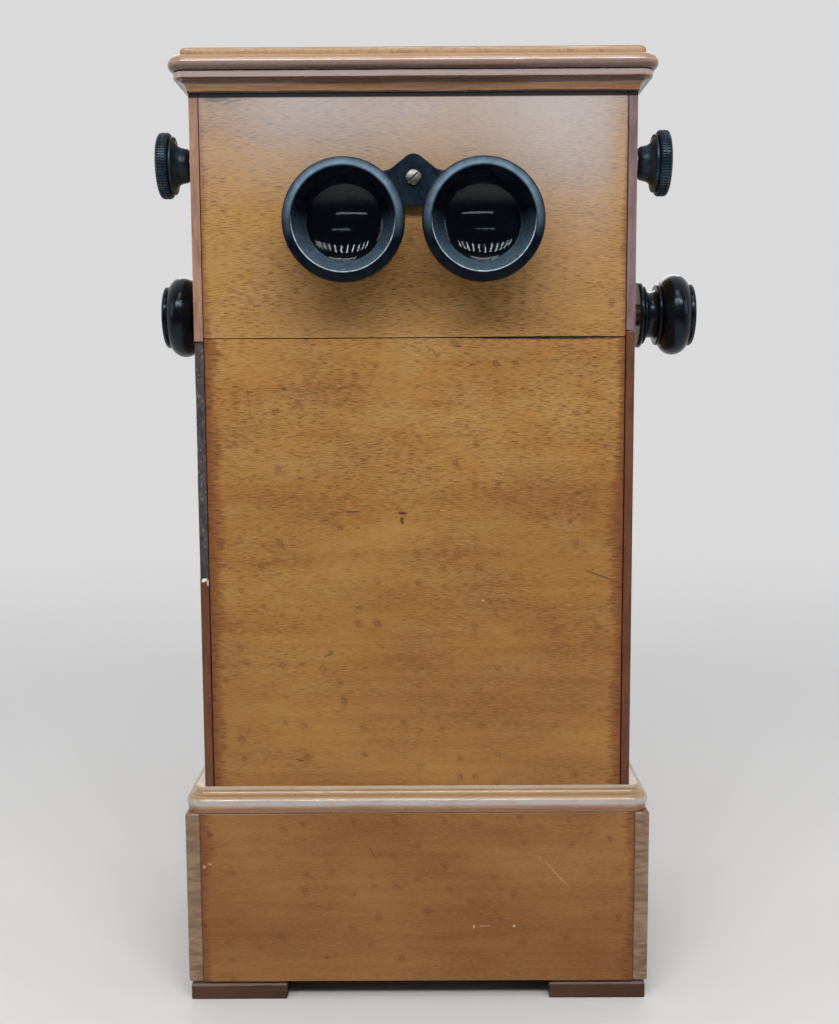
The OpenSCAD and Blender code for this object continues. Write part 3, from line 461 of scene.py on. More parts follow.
darkMark, redMark, paleMark = (0.035, 0.012, 0.008), (0.13, 0.04, 0.02), (0.62, 0.5, 0.34)
blueMark, chipMark, gapMark = (0.10, 0.12, 0.14), (0.72, 0.68, 0.62), (0.006, 0.004, 0.005)
sideMarks = [
    (-112.6, 232.2, 4.4, 2.6, 25, chipMark, 0.9),
    (-110.6, 230.6, 2.0, 4.4, 0, chipMark, 0.6),
]
panelMarks = [
    (-6.8, 267.6, 6.4, 2.0, 0, darkMark, 0.9),
    (-7.2, 263.6, 2.4, 5.4, 8, darkMark, 0.8),
    (-33.6, 268.4, 12.0, 1.4, 0, darkMark, 0.7),
    (-7.1, 279.9, 8.6, 0.9, 0, redMark, 0.6),
    (-27.6, 184.1, 5.0, 1.0, 0, redMark, 0.7),
    (3.0, 183.9, 5.0, 1.0, 0, redMark, 0.7),
    (-45.7, 192.3, 3.6, 3.2, 40, redMark, 0.6),
    (-63.3, 133.4, 6.4, 1.6, -12, darkMark, 0.7),
    (12.7, 350.7, 2.2, 3.4, 0, redMark, 0.5),
    (70.0, 359.4, 110.0, 2.2, 0, gapMark, 0.95),
    (98.0, 233.7, 26.0, 1.0, -21, darkMark, 0.7),
    (-48.0, 190.8, 4.0, 1.2, 20, darkMark, 0.6),
    (82.0, 263.0, 3.4, 2.6, 0, redMark, 0.7),
    (10.5, 351.5, 1.4, 9.0, 26, redMark, 0.5),
    (-87.0, 325.0, 1.0, 24.0, 6, redMark, 0.3),
    (-101.0, 481.2, 17.0, 4.4, 0, blueMark, 0.75),
    (-95.0, 479.2, 9.0, 2.2, 24, blueMark, 0.5),
    (-90.0, 480.4, 6.0, 1.4, 10, blueMark, 0.5),
    (-104.0, 477.4, 3.0, 1.0, 0, blueMark, 0.3),
    (-102.0, 351.0, 7.0, 2.0, 0, redMark, 0.5),
    (20.0, 420.0, 1.4, 1.4, 0, redMark, 0.5),
    (35.7, 220.5, 2.2, 1.2, 0, paleMark, 0.5),
]
plinthMarks = [
    (-24.0, 83.1, 11.2, 0.8, -61, darkMark, 0.6),
    (66.3, 80.1, 0.9, 4.0, 0, paleMark, 0.15),
    (75.5, 71.0, 25.0, 0.7, -48, paleMark, 0.3),
    (36.1, 41.9, 8.0, 0.8, 0, paleMark, 0.35),
    (30.6, 41.4, 1.4, 2.4, 0, paleMark, 0.6),
    (52.4, 41.8, 2.0, 2.0, 0, paleMark, 0.6),
    (-112.0, 94.0, 5.0, 4.0, 0, darkMark, 0.5),
    (-112.5, 77.5, 3.0, 0.8, 0, paleMark, 0.6),
    (-115.5, 76.0, 1.6, 2.2, 0, paleMark, 0.6),
    (-81.0, 37.5, 26.0, 0.7, 2, redMark, 0.6),
    (-50.0, 24.5, 4.0, 2.2, 0, darkMark, 0.6),
]

# The boards' own veneers
sheenVeneer = dict(veneer, gold=(0.345, 0.175, 0.042), brown=(0.25, 0.112, 0.026), tickStrength=0.8,
                   eyeShare=0.12, gloss=0.2, specular=0.35, sheenPaint=paintedSheen)
plinthVeneer = dict(veneer, gold=(0.28, 0.125, 0.030), brown=(0.19, 0.068, 0.012), oliveShare=0.5,
                    tickStrength=0.6, tickLength=0.003, eyeShare=0.5, eyeSpacing=0.013)
sideVeneer = dict(veneer, eyeShare=0.5)
upperSideVeneer = dict(sideVeneer, shadowLine=True)
lidPanelVeneer = dict(sheenVeneer, tickStrength=0.3, sheenPaint=dict(paintedSheen, strength=0.1, drift=0))

# The side boards' front edges and the lid panel's: where the face lies, its wood and its grain
lowerBand = {"at": -0.0994, "wood": (0.112, 0.036, 0.013), "dark": (0.05, 0.014, 0.006),
             "tint": (0.145, 0.052, 0.020), "grain": 60}
upperBand = {"at": -0.0994, "wood": (0.33, 0.19, 0.125), "dark": (0.17, 0.08, 0.05),
             "tint": (0.24, 0.12, 0.08), "grain": 60}
rightBand = dict(upperBand, wood=(0.17, 0.105, 0.108), dark=(0.10, 0.05, 0.048), tint=(0.22, 0.16, 0.17))
plinthBand = {"at": -0.1035, "wood": (0.29, 0.185, 0.110), "dark": (0.085, 0.045, 0.025),
              "tint": (0.19, 0.115, 0.070), "grain": 420, "slant": 12, "across": 90}
# Above its crest the lid panel's edge is painted pale: wear, and a painted highlight along the top
lidBand = {"at": -0.1033, "wood": (0.38, 0.22, 0.105), "dark": (0.22, 0.11, 0.055),
           "tint": (0.33, 0.22, 0.14), "grain": 200, "crest": 0.5050, "worn": (0.40, 0.39, 0.41)}

# How far the dirt has crept in from each board's edges
lowerStain = {"edge": 0.1104, "width": 0.0060, "strength": 0.95}
upperStain = {"edge": 0.1104, "width": 0.0034, "strength": 0.7}
plinthStain = {"edge": 0.1178, "width": 0.0050, "strength": 0.75}
sideStain = {"edge": 0.0996, "width": 0.0040, "strength": 0.5}
plinthSideStain = dict(sideStain, edge=0.106)
backStain = {"edge": 0.107, "width": 0.0050, "strength": 0.6}

lowerFront = woodVeneer("lowerFrontVeneer", veneer, "y", lowerStain, panelMarks)
upperFront = woodVeneer("upperFrontVeneer", dict(sheenVeneer, shadowLine=True), "y", upperStain, panelMarks)
plinthFront = woodVeneer("plinthFrontVeneer", plinthVeneer, "y", plinthStain, plinthMarks)
lowerSide = woodVeneer("lowerSideVeneer", sideVeneer, "x", sideStain, sideMarks, lowerBand)
upperSide = woodVeneer("upperSideVeneer", upperSideVeneer, "x", sideStain, edgeBand=upperBand)
rightSide = woodVeneer("rightSideVeneer", upperSideVeneer, "x", sideStain, edgeBand=rightBand)
plinthSide = woodVeneer("plinthSideVeneer", plinthVeneer, "x", plinthSideStain, edgeBand=plinthBand)
backVeneer = woodVeneer("backVeneer", dict(veneer, tickStrength=0.4), "y", backStain)
lidVeneer = woodVeneer("lidPanelVeneer", lidPanelVeneer, "y", None, edgeBand=lidBand)

# Mouldings: glossy amber wood, with its hollows, edges and noses painted as level bands, each with
# its middle height and half height in millimetres. Several bands are painted light: painted shade at
# the cornice's bottom, in its hollow, under the lid and above the plinth's board, and painted glare
# and highlights on the noses
moulding = {
    "amber": (0.45, 0.24, 0.105),
    "dark": (0.17, 0.062, 0.026),
    # Dark paint for the chips' dirt, and painted shade in the cornice's hollow and under the lid
    "dirtAndShade": (0.080, 0.042, 0.042),
    # Near black, for painted shade at the cornice's bottom and above the plinth's board
    "paintedShade": (0.022, 0.017, 0.020),
    "red": (0.17, 0.075, 0.038),
    "honey": (0.29, 0.18, 0.088),
    "pale": (0.31, 0.26, 0.265),
    "cream": (0.44, 0.375, 0.29),
    "glare": (0.38, 0.395, 0.41),
    # Painted glare on the lid's nose
    "noseGlare": (0.20, 0.135, 0.115),
    "grain": (60, 60, 1300),
    "clouds": (32, 32, 60),
    "gaps": (70, 70, 160),
    "chips": (140, 140, 300),
    "grainTone": (0.35, 0.7, 0, 0.5),
    "cloudTone": (0.3, 0.7, -0.1, 0.4),
    "uneven": (0.3, 0.7, -0.0003, 0.0003),
    "broken": (0.42, 0.56),
    "chipDirt": (0.68, 0.74, 0, 0.6),
    "chipPale": (0.30, 0.25, 0, 0.5),
    "roughness": 0.24,
    "specular": 0.5,
    "gloss": 0.45,
    "coatRoughness": 0.16,
    "relief": 0.0003,
    "bands": [
        # Painted shade at the cornice's bottom edge
        {"middle": 484.0, "half": 1.1, "paint": "paintedShade", "strength": 0.95},
        # Painted shade in the cornice's hollow under its fillet
        {"middle": 489.4, "half": 1.3, "paint": "dirtAndShade", "strength": 0.9},
        {"middle": 492.3, "half": 1.7, "paint": "pale", "strength": 0.9},
        # Painted shade in the joint under the lid and on the underside of its nose
        {"middle": 495.0, "half": 1.9, "paint": "dirtAndShade", "strength": 0.85},
        # Painted glare on the lid's nose
        {"middle": 497.0, "half": 1.3, "paint": "noseGlare", "strength": 0.85},
        # Painted highlight along the lid's nose
        {"middle": 498.3, "half": 0.55, "paint": "pale", "strength": 0.9, "broken": 0.6},
        {"middle": 501.2, "half": 2.4, "paint": "honey", "strength": 0.8},
        {"middle": 106.8, "half": 1.7, "paint": "red", "strength": 0.8},
        # Painted shade in the joint above the plinth's board
        {"middle": 105.3, "half": 0.6, "paint": "paintedShade", "strength": 0.95},
        {"middle": 115.0, "half": 3.0, "paint": "honey", "strength": 0.8},
        {"middle": 111.1, "half": 2.3, "paint": "glare", "strength": 0.8, "broken": 0.25, "soft": 0.3},
        {"middle": 118.9, "half": 2.0, "paint": "cream", "strength": 0.85, "broken": 0.2},
    ],
}


def mouldingWood(name, m):
    mat, bsdf = startMaterial(name, Roughness=m["roughness"], Coat_Weight=m["gloss"],
                              Coat_Roughness=m["coatRoughness"], Specular_IOR_Level=m["specular"])
    point = bodyPoint(mat)
    x, y, z = axesOf(mat, point)
    grain = noise(mat, stretched(mat, point, m["grain"]), 1.0, 3.0, 0.6, 0.4)
    cloud = noise(mat, stretched(mat, point, m["clouds"]), 1.0, 3.0, 0.55)
    gaps = noise(mat, stretched(mat, point, m["gaps"]), 1.0, 4.0, 0.65)
    chips = noise(mat, stretched(mat, point, m["chips"]), 1.0, 4.0, 0.65)
    tone = calc(mat, "ADD", remap(mat, grain, *m["grainTone"]), remap(mat, cloud, *m["cloudTone"]), True)
    color = blendColor(mat, tone, m["amber"], m["dark"])
    uneven = remap(mat, cloud, *m["uneven"])
    outer = outside(mat, x, y)
    for band in m["bands"]:
        half = band["half"] * mm
        away = calc(mat, "ABSOLUTE", calc(mat, "SUBTRACT", z, band["middle"] * mm))
        away = calc(mat, "ADD", away, uneven)
        mask = times(mat, remap(mat, away, half, half * band.get("soft", 0.6), 0, band["strength"]), outer)
        if "broken" in band:
            mask = times(mat, mask, remap(mat, gaps, *m["broken"], 1 - band["broken"], 1.0))
        color = blendColor(mat, mask, color, m[band["paint"]])
    color = blendColor(mat, remap(mat, chips, *m["chipDirt"]), color, m["dirtAndShade"])
    color = blendColor(mat, remap(mat, chips, *m["chipPale"]), color, m["pale"])
    connect(mat, color, bsdf, "Base Color")
    varyRoughness(mat, bsdf, cloud, m["roughness"], 0.06, 0.14)
    addBump(mat, bsdf, chips, 0.18, m["relief"])
    return mat


mouldingFinish = mouldingWood("mouldingWood", moulding)
# Painted highlight along the feet's top edges
footHighlight = [{"middle": 9.0, "half": 1.5, "paint": "pale", "strength": 0.7}]
footWood = mouldingWood("footWood", dict(moulding, amber=(0.085, 0.038, 0.020), dark=(0.035, 0.016, 0.009),
                                         pale=(0.20, 0.15, 0.13), bands=footHighlight, roughness=0.55,
                                         specular=0.2, gloss=0.0))


# Black turned parts and metals: a body colour, a duller one in patches, and fine rubbing
def plainFinish(name, base, dull, rough, patches=90.0, **shader):
    rubbing, smoother, rougher, relief = 700.0, 0.7, 1.2, 0.05 * mm
    mat, bsdf = startMaterial(name, Roughness=rough, **shader)
    point = bodyPoint(mat)
    cloud = noise(mat, point, patches, 4.0, 0.6)
    rubbed = noise(mat, point, rubbing, 3.0, 0.6)
    connect(mat, blendColor(mat, remap(mat, cloud, 0.45, 0.72), base, dull), bsdf, "Base Color")
    worn = calc(mat, "ADD", remap(mat, rubbed, 0.3, 0.7, rough * smoother, rough * rougher),
                remap(mat, cloud, 0.4, 0.7, 0, 0.08))
    connect(mat, worn, bsdf, "Roughness")
    addBump(mat, bsdf, rubbed, 0.1, relief)
    return mat


blueTint = (0.62, 0.82, 1.0, 1)
bluish = {"Specular_IOR_Level": 0.3, "Specular_Tint": blueTint}
ebonite = plainFinish("ebonite", (0.003, 0.004, 0.006), (0.008, 0.010, 0.014), 0.2, **bluish)
blackMetal = plainFinish("blackMetal", (0.002, 0.005, 0.011), (0.010, 0.019, 0.032), 0.3, patches=160.0,
                         **bluish)
knobMetal = plainFinish("knobMetal", (0.006, 0.011, 0.018), (0.028, 0.048, 0.070), 0.36, patches=120.0,
                        Specular_IOR_Level=0.5, Specular_Tint=blueTint)
brass = plainFinish("brass", (0.6, 0.4, 0.14), (0.32, 0.2, 0.07), 0.32, Metallic=1.0)
nickel = plainFinish("nickel", (0.24, 0.22, 0.20), (0.12, 0.105, 0.09), 0.4, patches=260.0, Metallic=1.0)
tinPlate = plainFinish("tinPlate", (0.002, 0.002, 0.003), (0.005, 0.005, 0.006), 0.5,
                       Specular_IOR_Level=0.15)


# The lenses' height and their distance from each other, in millimetres
lensHeight, lensApart = 417.0, 69.5

# The eyecups' hard rubber, with painted light: a painted grey-blue sheen on the upper half of the rim
# and low down in the cone, and a painted glint round the lower mouth. Radii and depths are in
# millimetres, slopes are height by radius
cupLook = {
    "base": (0.002, 0.003, 0.006),
    "dull": (0.006, 0.009, 0.014),
    "rim": (0.140, 0.210, 0.280),
    "cone": (0.070, 0.110, 0.150),
    "line": (0.42, 0.52, 0.60),
    "clouds": 150.0,
    "rubbing": 900.0,
    "dullPatches": (0.45, 0.72),
    "rimInner": (25.6, 26.6),
    "rimOuter": (30.2, 27.2),
    "rimLeft": 0.12,
    "rimFront": (-130.0, -131.4),
    "rimSlope": (-0.35, 0.6),
    "rimCloudy": (0.35, 0.65, 0.65, 1.0),
    "coneOuter": (25.4, 24.8),
    "coneSlope": (0.25, -0.7),
    "coneBreakup": (0.35, 0.65, 0.4, 1.0),
    "lineRadius": 25.6,
    "lineHalf": (0.38, 0.14),
    "lineSlope": (0.1, -0.35),
    "lineRubbed": (0.4, 0.6, 0.5, 1.0),
    "roughness": 0.28,
    "specular": 0.1,
    "relief": 0.05,
}


def cupFinish(name, c):
    mat, bsdf = startMaterial(name, Roughness=c["roughness"], Specular_IOR_Level=c["specular"],
                              Specular_Tint=blueTint)
    point = bodyPoint(mat)
    x, y, z = axesOf(mat, point)
    cloud = noise(mat, point, c["clouds"], 4.0, 0.6)
    rubbed = noise(mat, point, c["rubbing"], 3.0, 0.6)
    across = calc(mat, "SUBTRACT", calc(mat, "ABSOLUTE", x), lensApart / 2 * mm)
    up = calc(mat, "SUBTRACT", z, lensHeight * mm)
    out = lengthOf(mat, across, up)
    slope = calc(mat, "DIVIDE", up, out)
    # Painted sheen where the rim faces up and low in the cone, and a painted glint on the lower mouth
    rimSheen = times(mat, remap(mat, out, *inMetres(c["rimInner"])), remap(mat, y, *inMetres(c["rimFront"])),
                  remap(mat, slope, *c["rimSlope"]),
                  remap(mat, out, *inMetres(c["rimOuter"]), c["rimLeft"], 1.0),
                  remap(mat, cloud, *c["rimCloudy"]))
    coneSheen = times(mat, remap(mat, out, *inMetres(c["coneOuter"])), remap(mat, slope, *c["coneSlope"]),
                   remap(mat, rubbed, *c["coneBreakup"]))
    away = calc(mat, "ABSOLUTE", calc(mat, "SUBTRACT", out, c["lineRadius"] * mm))
    line = times(mat, remap(mat, away, *inMetres(c["lineHalf"])), remap(mat, slope, *c["lineSlope"]),
                 remap(mat, rubbed, *c["lineRubbed"]))
    color = blendColor(mat, remap(mat, cloud, *c["dullPatches"]), c["base"], c["dull"])
    color = blendColor(mat, rimSheen, color, c["rim"])
    color = blendColor(mat, coneSheen, color, c["cone"])
    color = blendColor(mat, line, color, c["line"])
    connect(mat, color, bsdf, "Base Color")
    varyRoughness(mat, bsdf, cloud, c["roughness"], 0.04, 0.08, low=0.35)
    addBump(mat, bsdf, rubbed, 0.1, c["relief"] * mm)
    return mat


cupEbonite = cupFinish("cupEbonite", cupLook)


# Glass with a little dust
def glassFinish(name, tint, rough, passes, bends):
    dustRepeats, dustShade, dustRoughness = 420.0, 0.85, 0.05
    mat, bsdf = startMaterial(name, Roughness=rough, IOR=bends, Transmission_Weight=passes)
    point = bodyPoint(mat)
    dust = noise(mat, point, dustRepeats, 3.0, 0.6)
    dusty = [c * dustShade for c in tint]
    connect(mat, blendColor(mat, remap(mat, dust, 0.45, 0.75), tint, dusty), bsdf, "Base Color")
    connect(mat, remap(mat, dust, 0.45, 0.8, rough, rough + dustRoughness), bsdf, "Roughness")
    return mat


lensGlass = glassFinish("lensGlass", (0.82, 0.90, 1.0), 0.0, 1.0, 1.45)
groundGlass = glassFinish("groundGlass", (0.62, 0.66, 0.65), 0.5, 0.0, 1.52)
print("materials made")

# The finish of each slot, and of the nodes that have one of their own
finishes = {
    "maple_veneer": backVeneer,
    "side_veneer": lowerSide,
    "moulding_wood": mouldingFinish,
    "dark_wood": footWood,
    "ebonite": ebonite,
    "black_metal": blackMetal,
    "brass": brass,
    "nickel": nickel,
    "tin_plate": tinPlate,
    "lens_glass": lensGlass,
    "ground_glass": groundGlass,
}
nodeFinishes = {
    "front_lower_panel": lowerFront,
    "front_upper_panel": upperFront,
    "plinth_front": plinthFront,
    "plinth_back": plinthFront,
    "side_left_upper": upperSide,
    "side_right_upper": rightSide,
    "plinth_left": plinthSide,
    "plinth_right": plinthSide,
    "lid_panel": lidVeneer,
}
slotOf = {s["node"]: s["material_slot"] for s in frame["record"]["subparts"]}
bodyOf = {n: body for body, members in frame["record"]["behaviour"]["bodies"].items() for n in members}
for name, node in nodes.items():
    node.data.materials.clear()
    node.data.materials.append(nodeFinishes.get(name, finishes[slotOf[name]]))
print("nodes dressed")


# Editing helpers
def deselectAll():
    bpy.ops.object.select_all(action="DESELECT")


def makeActive(piece):
    deselectAll()
    piece.select_set(True)
    bpy.context.view_layer.objects.active = piece


def selectVerts(piece, wanted):
    shape = bmesh.from_edit_mesh(piece.data)
    for vert in shape.verts:
        vert.select = wanted(vert.co)
    shape.select_flush_mode()
    bmesh.update_edit_mesh(piece.data)


def finishPiece(piece, name, finish, *stoodFor, angle=35):
    makeActive(piece)
    bpy.ops.object.transform_apply(location=True, rotation=True, scale=True)
    bpy.ops.object.shade_smooth_by_angle(angle=math.radians(angle))
    even = piece.modifiers.new("even", "WEIGHTED_NORMAL")
    even.keep_sharp = True
    bpy.ops.object.modifier_apply(modifier=even.name)
    piece.name = name
    piece.data.name = name
    if finish:
        piece.data.materials.clear()
        piece.data.materials.append(finish)
    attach(piece, bodyOf[stoodFor[0]])
    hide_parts(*stoodFor)
    return piece


# A board as its node gives it, joined into whole faces
def copyOfNode(name):
    joinWithin, flatWithin = 0.01, 0.5
    deselectAll()
    source = nodes[name]
    piece = source.copy()
    piece.data = source.data.copy()
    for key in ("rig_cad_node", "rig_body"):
        del piece[key]
    piece.parent = None
    bpy.context.scene.collection.objects.link(piece)
    makeActive(piece)
    bpy.ops.object.mode_set(mode="EDIT")
    bpy.ops.mesh.select_all(action="SELECT")
    bpy.ops.mesh.remove_doubles(threshold=joinWithin * mm)
    bpy.ops.mesh.dissolve_limited(angle_limit=math.radians(flatWithin))
    bpy.ops.object.mode_set(mode="OBJECT")
    return piece


# Cut a box out of a piece, after shaping the box
def cutAway(piece, low, high, shape):
    deselectAll()
    low, high = Vector(low) * mm + bodyPlace, Vector(high) * mm + bodyPlace
    bpy.ops.mesh.primitive_cube_add(size=1, location=(low + high) / 2)
    cutter = bpy.context.object
    bpy.ops.object.mode_set(mode="EDIT")
    bpy.ops.transform.resize(value=high - low)
    shape(cutter)
    bpy.ops.object.mode_set(mode="OBJECT")
    cut = piece.modifiers.new("cut", "BOOLEAN")
    cut.object = cutter
    cut.operation = "DIFFERENCE"
    makeActive(piece)
    bpy.ops.object.modifier_apply(modifier=cut.name)
    bpy.data.objects.remove(cutter)


def roundEdges(piece, width, segments=2, angle=40):
    makeActive(piece)
    bevel = piece.modifiers.new("rubbed", "BEVEL")
    bevel.width = width * mm
    bevel.segments = segments
    bevel.limit_method = "ANGLE"
    bevel.angle_limit = math.radians(angle)
    bevel.miter_outer = "MITER_ARC"
    bpy.ops.object.modifier_apply(modifier=bevel.name)


# Boards and mouldings: how far each one's edges are rubbed round, in millimetres
rubbedBoards = {
    "front_upper_panel": 0.35, "front_lower_panel": 0.35, "plinth_front": 0.5, "plinth_back": 0.5,
    "plinth_left": 3.2, "plinth_right": 3.2, "side_left_upper": 0.6, "side_right_upper": 0.6,
    "side_right_lower": 0.6, "back_lower_panel": 0.4, "back_top_rail": 0.4,
    "plinth_moulding_front": 0.15, "plinth_moulding_back": 0.15, "plinth_moulding_left": 0.15,
    "plinth_moulding_right": 0.15, "cornice_front": 0.15, "cornice_left": 0.15, "cornice_right": 0.15,
    "lid_board": 0.3, "lid_panel": 0.3, "feet": 1.3, "door_stiles": 0.4, "door_rails": 0.4,
    "glass_beads": 0.5, "bottom_board": 0.4, "bridge_plate": 0.4, "bridge_screw": 0.12,
}


def rubBoards(widths):
    wide = 1
    for name, width in widths.items():
        piece = copyOfNode(name)
        roundEdges(piece, width, 3 if width > wide else 2)
        finishPiece(piece, "worn_" + name, None, name)


rubBoards(rubbedBoards)
print("boards rubbed:", len(rubbedBoards))


# The left side board has lost a strip of its front edge, down to the ground wood. The strip's floor
# is ragged by three waves: two along its height, each with its pace, start and share, and one across
lostStrip = {
    "low": (-115.8, -100.6, 233.0),
    "high": (-110.1, -99.0, 358.6),
    "steps": 26,
    "floorShare": 0.4,
    "floorReach": 0.916,
    "ragged": 0.28,
    "upWaves": [(90, 0, 1), (211, 1.3, 0.7)],
    "acrossWave": 150,
    "rubbed": 0.5,
    "skin": 0.15,
    "ground": (0.065, 0.05, 0.05),
    "dark": (0.018, 0.014, 0.015),
    "glue": (0.34, 0.27, 0.22),
    "fibres": (500, 500, 150),
    "fibreTone": (0.38, 0.62),
    "flecks": (700, 700, 420),
    "fleckGlue": (0.60, 0.70, 0, 0.55),
    "roughness": 0.75,
    "relief": 0.5,
}


def groundWood(name, g):
    mat, bsdf = startMaterial(name, Roughness=g["roughness"])
    point = bodyPoint(mat)
    fibres = noise(mat, stretched(mat, point, g["fibres"]), 1.0, 4.0, 0.7, 0.6)
    flecks = noise(mat, stretched(mat, point, g["flecks"]), 1.0, 3.0, 0.6, 0.4)
    color = blendColor(mat, remap(mat, fibres, *g["fibreTone"]), g["dark"], g["ground"])
    color = blendColor(mat, remap(mat, flecks, *g["fleckGlue"]), color, g["glue"])
    connect(mat, color, bsdf, "Base Color")
    addBump(mat, bsdf, flecks, 0.6, g["relief"] * mm)
    return mat


def addLostStrip(c):
    piece = copyOfNode("side_left_lower")
    roundEdges(piece, c["rubbed"])
    low, high = (Vector(c[k]) * mm + bodyPlace for k in ("low", "high"))
    floorFrom = c["floorShare"] * (high.y - low.y)

    def ragged(cutter):
        bpy.ops.mesh.select_all(action="SELECT")
        bpy.ops.mesh.subdivide(number_cuts=c["steps"])
        shape = bmesh.from_edit_mesh(cutter.data)
        for vert in shape.verts:
            wave = math.sin(vert.co.x * c["acrossWave"])
            for repeats, start, share in c["upWaves"]:
                wave += math.sin(vert.co.z * repeats + start) * share
            if vert.co.y > floorFrom:
                vert.co.y += wave * c["ragged"] * mm
        bmesh.update_edit_mesh(cutter.data)

    cutAway(piece, c["low"], c["high"], ragged)
    piece.data.materials.clear()
    piece.data.materials.append(lowerSide)
    piece.data.materials.append(groundWood("groundWood", c))
    front = bodyPlace.y - (halfDepth - c["skin"]) * mm
    deepest = high.y + c["floorReach"] * mm
    for face in piece.data.polygons:
        inside = low.x < face.center.x < high.x and low.z < face.center.z < high.z
        buried = front < face.center.y < deepest
        face.material_index = 1 if inside and buried else 0
    finishPiece(piece, "worn_side_left_lower", None, "side_left_lower")


addLostStrip(lostStrip)
print("lost strip of the left side board made")


# Turned pieces: a ring drawn out along a profile, whose steps are each a radius and a distance from
# the first ring. An arc has its middle, its radius, its start and end in degrees and its number of
# steps, and where it is part of an oval its radius along the axis
def arcSteps(middle, radius, start, end, count, along=None):
    steps = []
    for i in range(count + 1):
        a = math.radians(start + (end - start) * i / count)
        steps.append((middle[0] + radius * math.cos(a), middle[1] + (along or radius) * math.sin(a)))
    return steps


def wholeProfile(c):
    return [step for section in c["profile"].values() for step in section]


def turnPiece(steps, place, direction, segments, closed=False):
    joinWithin = 0.002
    deselectAll()
    place = Vector(place) * mm + bodyPlace
    direction = Vector(direction)
    facing = direction.to_track_quat("Z", "Y").to_euler()
    radius, along = steps[0]
    bpy.ops.mesh.primitive_circle_add(vertices=segments, radius=radius * mm,
                                      location=place + direction * along * mm, rotation=facing)
    piece = bpy.context.object
    bpy.ops.object.mode_set(mode="EDIT")
    bpy.ops.mesh.select_all(action="SELECT")
    if not closed:
        bpy.ops.mesh.edge_face_add()
    for nextRadius, nextAlong in steps[1:]:
        move = direction * (nextAlong - along) * mm
        bpy.ops.mesh.extrude_region_move(TRANSFORM_OT_translate={"value": move})
        grow = nextRadius / radius
        bpy.ops.transform.resize(value=(grow, grow, grow),
                                 center_override=place + direction * nextAlong * mm)
        radius, along = nextRadius, nextAlong
    bpy.ops.mesh.select_all(action="SELECT")
    bpy.ops.mesh.remove_doubles(threshold=joinWithin * mm)
    bpy.ops.mesh.normals_make_consistent(inside=False)
    bpy.ops.object.mode_set(mode="OBJECT")
    return piece


# Eyecup, from the flange at its back over the rim's crest to the throat before the lens
eyecup = {
    "back": -106.0,
    "segments": 144,
    "profile": {
        "flange": [(23.05, 0), (26.85, 0), (27.45, 0.5), (27.65, 1.6)],
        "bulge": arcSteps((23.5, 18), 7, -32, 0, 8),
        "shoulder": arcSteps((28.3, 23.6), 2.2, 0, 60, 10),
        "crest": arcSteps((26.5, 25.8), 1.2, 60, 180, 12),
        "cone": [(24.8, 24.8), (23.7, 23), (19.8, 11.4)],
        "throat": [*arcSteps((20.2, 10.4), 0.9, 110, 180, 4), (19.3, 9)],
        "tube": [(23.05, 9), (23.05, 0)],
    },
}


def addEyecups(e):
    for side, name in ((-1, "eyecup_left"), (1, "eyecup_right")):
        place = (side * lensApart / 2, e["back"], lensHeight)
        piece = turnPiece(wholeProfile(e), place, (0, -1, 0), e["segments"], closed=True)
        finishPiece(piece, "turned_" + name, cupEbonite, name, angle=28)


addEyecups(eyecup)
print("eyecups turned")

# Lens: two shallow crowns with a thin straight edge, seated behind the eyecup's throat
lens = {"radius": 20.9, "edge": 3.5, "crown": 2.6, "rings": 22, "firstRing": 0.15, "segments": 96}


def crownAt(c, r):
    ball = (c["radius"] ** 2 + c["crown"] ** 2) / (2 * c["crown"])
    return c["crown"] - ball + math.sqrt(ball * ball - r * r)


def addLenses(c):
    rings, first = c["rings"], c["firstRing"]
    rs = [c["radius"] * (i + first) / (rings + first) for i in range(rings + 1)]
    front = [(r, crownAt(c, r)) for r in rs]
    back = [(r, -c["edge"] - crownAt(c, r)) for r in reversed(rs)]
    for side, name in ((-1, "lens_left"), (1, "lens_right")):
        seat = (nodes[name].bound_box[0][1] - bodyPlace.y) / mm + c["crown"]
        piece = turnPiece(front + back, (side * lensApart / 2, seat, lensHeight), (0, -1, 0), c["segments"])
        finishPiece(piece, "turned_" + name, lensGlass, name, angle=50)


addLenses(lens)
print("lenses turned")

# Focus knob: foot, hollow neck, bead, a thin rim with a double knurled band, and its face
focusKnob = {
    "inner": 119.0,
    "y": -74.0,
    "z": 451.8,
    "rim": 17.2,
    "band": (10.9, 15.2),
    "bandDepth": 0.3,
    "teeth": 72,
    "toothDepth": 0.04,
    "profile": {
        "foot": [(2.55, 0), (5.8, 0), *arcSteps((6.2, 2.8), 2.8, -80, 0, 6)],
        "neck": arcSteps((14.9, 2.9), 5.7, 176, 104, 10),
        "bead": [*arcSteps((14.3, 9), 0.9, -50, 75, 6), (14.3, 9.95), (13.9, 10.1)],
        "back": arcSteps((15.7, 11.7), 1.5, -98, -12, 6),
        "lowerBand": [(17.2, 11.9), (17.22, 12.6)],
        "groove": [(16.75, 12.88), (16.75, 13.12)],
        "upperBand": [(17.22, 13.4), (17.2, 14.2)],
        "edge": arcSteps((15.3, 14.4), 1.9, 8, 84, 7),
        "face": [(14.2, 16.15), (13.2, 15.9), (12.2, 15.6), (8, 15.55), (0.4, 16)],
    },
}


